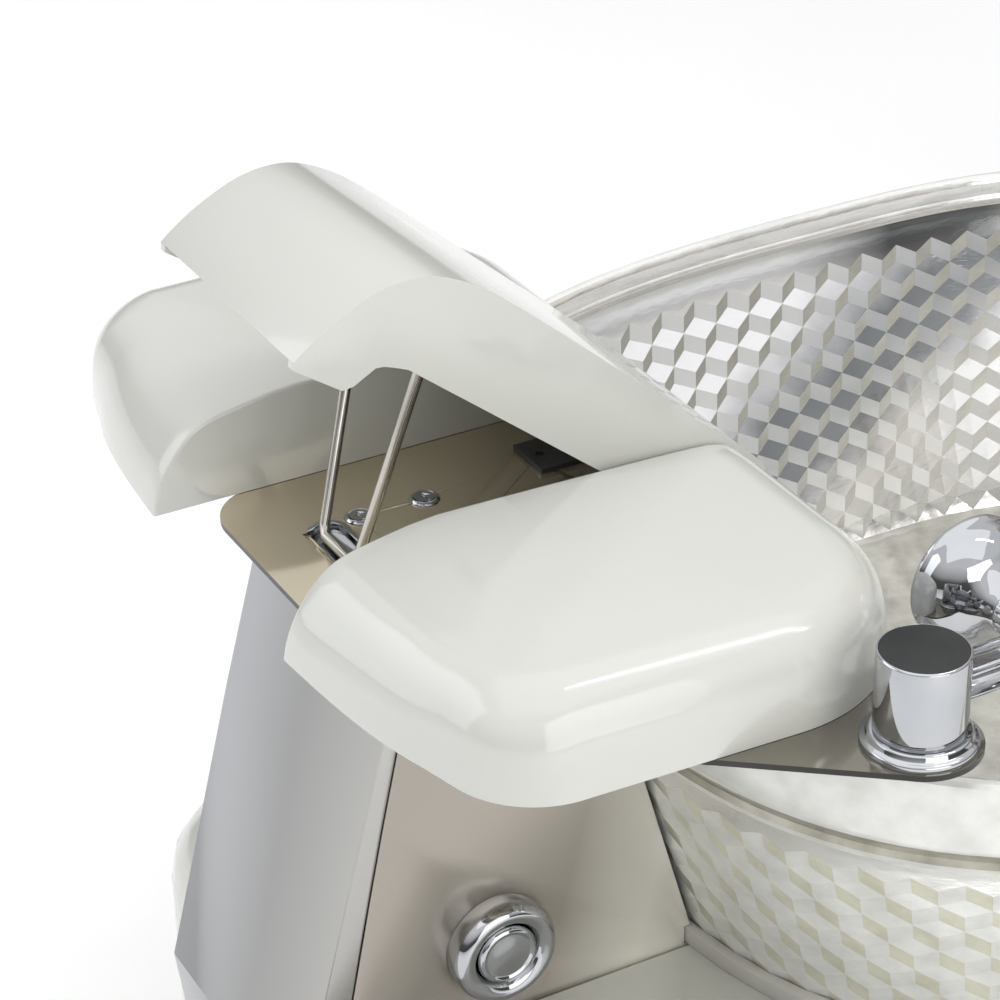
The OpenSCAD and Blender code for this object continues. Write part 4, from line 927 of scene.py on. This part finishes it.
# ---------- turned chrome ----------
def turned_pieces():
    jet = local(78, 78.7, -201.8)
    rounding = [(28.75, 9), (27.95, 11.2), (26.55, 13.2), (24.55, 14.5), (22.75, 14.6)]
    turned("jet_bezel", [(16.9, -16), (23.8, -16), (23.8, 0), (28.75, 0)] + eased(rounding, 3)
           + [(19, 13), (16.9, 10.5)], jet, (1, 0, 0), closed=True)
    turned("jet_button", [(0.05, -4), (16.5, -4), (16.5, 11.6), (15.6, 13), (14.1, 13.8),
                          (13.1, 13.2), (12.3, 12.8), (8, 13.35), (4, 13.7), (0.05, 13.8)],
           jet, (1, 0, 0))
    tap = local(275, 186, 0)
    turned("tap_base_ring", [(0.05, -10), (17, -10), (17, -3.1), (13.8, -3.1), (13.8, 0), (26.5, 0),
                             (26.5, 2.6), (25.7, 3.4), (24, 4), (23.2, 6.2), (22.4, 6.8),
                             (12.1, 6.8), (12.1, 3), (0.05, 3)], tap, (0, 0, 1))
    turned("tap_body", [(0.05, 3.2), (12, 3.2), (12, 7), (21, 7), (21, 46.2), (20.2, 47),
                        (19.8, 47), (19.8, 46), (0.05, 46)], tap, (0, 0, 1))
    bell = [(11, 0.3), (12, 2), (14, 7), (18, 12), (23, 16), (27.5, 21), (30, 26), (31, 31)]
    turned("spray_head", [(0.05, -13.2), (6, -13.2), (6, 0), (10.5, 0)] + eased(bell, 4)
           + [(31.6, 32.6), (32, 33.4), (32, 35), (31, 36), (29.5, 35.2), (28.6, 34.5), (0.05, 34.5)],
           local(244.7, 258, 26.5), (-1, 0, 0))


# ---------- the chair's pieces ----------
turned_pieces()
wing("footrest_wing_near", 1)
wing("footrest_wing_far", -1)
centre_footrest()
stand_whole(bowl(), "bowl")
paint_edges(skin_of("deck_plate"))
for part, edge, angle in (
        ("base_shell", 0.003, 50), ("seat_housing", 0.003, 50), ("service_panel", 0.002, 40),
        ("pedestal_front_panel", 0.0003, 30), ("pedestal_side_near", 0.0003, 30),
        ("pedestal_side_far", 0.0003, 30),
        ("chassis_frame", 0.002, 40), ("levelling_feet", 0.001, 40), ("pedestal_post", 0.0004, 40),
        ("deck_screws", 0.0002, 40), ("deck_cup_washers", 0.0003, 40), ("prop_seat_cup", 0.0003, 40),
        ("hinge_bracket", 0.0006, 40), ("hinge_pin", 0.0003, 40), ("hinge_knuckles", 0.0006, 40),
        ("prop_clips", 0.0004, 40), ("prop_bail", 0.0, 50),
        ("bowl_seal", 0.0006, 40), ("drain_flange", 0.0005, 40), ("drain_stopper", 0.0005, 40),
        ("drain_pipe", 0.0008, 40), ("jet_housing", 0.0008, 40), ("jet_impeller", 0.0003, 40),
        ("jet_motor", 0.0012, 40), ("tap_disc", 0.0002, 35),
        ("spout_arm", 0.0, 45), ("spray_collar", 0.0, 40), ("water_inlets", 0.0006, 40),
        ("control_box", 0.003, 40), ("seat_rails", 0.001, 40), ("seat_actuator", 0.001, 40),
        ("seat_carriage", 0.0015, 40), ("recline_motor", 0.003, 40), ("back_frame", 0.0015, 40),
        ("back_shell", 0.003, 50), ("massage_rollers", 0.002, 45), ("headrest_posts", 0.0, 40),
        ("arm_left", 0.003, 50), ("arm_right", 0.003, 50),
        ("tray_left", 0.0012, 45), ("tray_right", 0.0012, 45)):
    skin = skin_of(part, edge, angle)
    if part == "pedestal_front_panel":
        paint(skin, finish["front_steel"])


# ---------- upholstery ----------
seat_place = Matrix.Translation((0, 0.738 + deck_front, 0.500))
back_pin = Vector((0, 1.229 + deck_front, 0.530))
back_lean = Matrix.Translation(back_pin) @ Matrix.Rotation(math.radians(-14), 4, "X")
upright = Matrix.Rotation(math.pi / 2, 4, "X")
back_cushion_place = back_lean @ Matrix.Translation((0, -0.0083, 0.1)) @ upright
headrest_place = back_lean @ Matrix.Translation((0, -0.018, 0.766)) @ upright
block_margin, block_share, crown_share, waist, cushion_gap = 0.016, 0.72, 0.36, 0.014, 0.0005
block_power, corner_r, corner_share = 6, 0.022, 0.22
cloth_frames, pressure, inward_share = 20, 4, 0.3
pull_reach, pinch_reach, pinch_share = 0.011, 0.006, 0.35
gather_at, gather_reach, gather_deep = 0.012, 0.008, 0.0007
gather_rate, drift, drift_rate = 260, 3, 47
seam_half, seam_deep, swell_at, swell_high = 0.0028, 0.0026, 2.4, 0.0010


def stuffed_block(name, wide, long, thick, swell):
    """A block with rounded corners, drawn in at its waist, and a crowned top, swollen by its filling."""
    bpy.ops.object.select_all(action="DESELECT")
    bpy.ops.mesh.primitive_cube_add(size=1, location=(0, long / 2, thick * block_share / 2))
    pad = bpy.context.object
    pad.name = pad.data.name = name
    pad.scale = (wide - block_margin, long - block_margin, thick * block_share)
    settle(pad)
    edit(pad)
    bpy.ops.mesh.subdivide(number_cuts=11)
    leave()
    for v in pad.data.vertices:
        u, w = 2 * v.co.x / wide, 2 * v.co.y / long - 1
        crown = max(0, 1 - u ** block_power) ** 0.5 * max(0, 1 - w ** block_power) ** 0.5
        v.co.z *= block_share + crown_share * crown
        v.co.x *= 1 - waist * (1 - w * w)
        v.co.y = long / 2 + (v.co.y - long / 2) * (1 - waist * (1 - u * u))
    round_over = pad.modifiers.new("round_over", "BEVEL")
    round_over.width = min(corner_r, thick * corner_share)
    round_over.segments = 4
    round_over.angle_limit = math.radians(50)
    skin = pad.modifiers.new("even_skin", "REMESH")
    skin.mode = "VOXEL"
    skin.voxel_size = 0.006 if wide > 0.3 else 0.005
    apply_all(pad)
    inflate(pad, swell)
    for v in pad.data.vertices:
        v.co.x = min(wide / 2 - cushion_gap, max(cushion_gap - wide / 2, v.co.x))
        v.co.y = min(long - cushion_gap, max(cushion_gap, v.co.y))
        v.co.z = min(thick - cushion_gap, max(0.0, v.co.z))
    return pad


def inflate(pad, swell):
    """The filling pushes the cover out, and no point moves further than swell."""
    rest = [v.co.copy() for v in pad.data.vertices]
    cover = pad.modifiers.new("cover", "CLOTH")
    cover.settings.use_pressure = True
    cover.settings.uniform_pressure_force = pressure
    cover.settings.effector_weights.gravity = 0
    cover.settings.quality = 4
    cover.collision_settings.use_collision = False
    for step in range(cloth_frames):
        bpy.context.scene.frame_set(step + 1)
    apply_all(pad)
    bpy.context.scene.frame_set(1)
    middle = sum(rest, Vector()) / len(rest)
    for v, was in zip(pad.data.vertices, rest):
        way = v.co - was
        for axis in (0, 1):
            if way[axis] * (was[axis] - middle[axis]) < 0:
                way[axis] *= inward_share
        v.co = was + way
        if way.length > swell:
            v.co = was + way * (swell / way.length)


def sew(pad, long, thick, channels, depth):
    """Sewn channels across the top, gathers beside them, and the seam round the side."""
    fine = pad.modifiers.new("fine_skin", "SUBSURF")
    fine.levels = fine.render_levels = 1
    apply_all(pad)
    seam = thick * 0.5
    moves = []
    for v in pad.data.vertices:
        up = max(0.0, v.normal.z)
        move = Vector((0, 0, 0))
        if channels:
            pitch = long / (channels + 1)
            away = min(abs(v.co.y - pitch * (k + 1)) for k in range(channels))
            pull = math.exp(-away / pull_reach)
            fold = math.sin(v.co.x * gather_rate + drift * math.sin(v.co.x * drift_rate))
            gather = fold * math.exp(-abs(away - gather_at) / gather_reach)
            move.z -= up * (depth * pull + gather_deep * gather)
            if v.co.z > seam:
                pinch = math.exp(-away / pinch_reach)
                move -= v.normal * (1 - up) * depth * pinch_share * pinch
        at = (v.co.z - seam) / seam_half
        flat = 1 - abs(v.normal.z)
        move -= v.normal * flat * (seam_deep * math.exp(-at * at)
                                   - swell_high * math.exp(-(abs(at) - swell_at) ** 2))
        moves.append(move)
    for v, move in zip(pad.data.vertices, moves):
        v.co += move
        v.co.z = max(0.0, v.co.z)
    turn_outward(pad)


def cushion(node, wide, long, thick, place, swell, channels=0, depth=0.007):
    pad = stuffed_block(node + "_padded", wide, long, thick, swell)
    sew(pad, long, thick, channels, depth)
    smooth(pad, 70)
    pad.data.transform(place)
    pitch = long / (channels + 1) if channels else 0
    stand_for(pad, node, material=stitched_hide(node + "_hide", place, pitch, thick))
    return pad


def arm_pads():
    """One pad is sewn up, and its mirror image lies on the other arm."""
    low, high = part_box("arm_pad_right")
    middle = (low.x + high.x) / 2
    place = Matrix.Translation((middle, low.y, low.z))
    pad = cushion("arm_pad_right", high.x - low.x, high.y - low.y, high.z - low.z, place, 0.006)
    other = copy_of(pad, "arm_pad_left_padded")
    other.data.transform(Matrix.Scale(-1, 4, (1, 0, 0)))
    turn_outward(other)
    stand_for(other, "arm_pad_left", material=pad.data.materials[0])


cushion("seat_cushion", 0.480, 0.465, 0.120, seat_place, 0.022, channels=3, depth=0.009)
cushion("back_cushion", 0.464, 0.660, 0.090, back_cushion_place, 0.018, channels=5, depth=0.009)
cushion("headrest", 0.270, 0.130, 0.068, headrest_place, 0.010)
arm_pads()


# ---------- floor and light ----------
def studio():
    bpy.ops.object.select_all(action="DESELECT")
    bpy.ops.mesh.primitive_plane_add(size=30, location=(0, 0, 0))
    floor = bpy.context.object
    floor.name = "studio_floor"
    m, tree, shader = new_material("pale_floor")
    tint = [(0.3, (0.955, 0.955, 0.955)), (0.7, (0.975, 0.975, 0.975))]
    link(tree, shader, "Base Color", ramp(tree, noise(tree, object_coords(tree), 1.5, 2), tint))
    shader.inputs["Roughness"].default_value = 0.7
    paint(floor, m)
    world = bpy.data.worlds.new("studio_sky")
    world.use_nodes = True
    bpy.context.scene.world = world
    tree = world.node_tree
    back = tree.nodes["Background"]
    coords = tree.nodes.new("ShaderNodeTexCoord")
    split = tree.nodes.new("ShaderNodeSeparateXYZ")
    tree.links.new(coords.outputs["Generated"], split.inputs["Vector"])
    lift = tree.nodes.new("ShaderNodeMapRange")
    lift.inputs["From Min"].default_value = -1
    tree.links.new(split.outputs["Z"], lift.inputs["Value"])
    sky = ramp(tree, lift.outputs["Result"], [(0.44, (0.62, 0.62, 0.63)), (0.50, (0.10, 0.095, 0.09)),
                                             (0.60, (0.14, 0.135, 0.13)), (0.66, (0.55, 0.55, 0.55)),
                                             (0.80, (1.0, 1.0, 1.0))])
    tree.links.new(sky, back.inputs["Color"])
    back.inputs["Strength"].default_value = 0.95

    def softbox(name, place, aim, size, power, tone=(1, 1, 1)):
        data = bpy.data.lights.new(name, "AREA")
        data.shape = "RECTANGLE"
        data.size, data.size_y = size
        data.energy = power
        data.color = tone
        lamp = bpy.data.objects.new(name, data)
        bpy.context.collection.objects.link(lamp)
        lamp.location = place
        lamp.rotation_euler = (Vector(aim) - Vector(place)).to_track_quat("-Z", "Y").to_euler()

    softbox("top_softbox", (0.3, -0.6, 3.4), (0, -0.4, 0.5), (4.0, 4.0), 29)
    softbox("side_softbox", (3.4, -0.5, 1.5), (0, -0.5, 0.5), (2.6, 2.6), 44, (1.0, 0.99, 0.97))
    softbox("strip_light", (0.75, 0.37, 2.45), (0.2, -0.6, 0.56), (0.10, 1.1), 7)
    softbox("front_softbox", (-1.8, -3.2, 1.8), (0, -0.5, 0.5), (2.6, 2.6), 30, (0.96, 0.98, 1.0))


studio()
bpy.context.scene.view_settings.view_transform = "Standard"
bpy.context.scene.view_settings.look = "None"
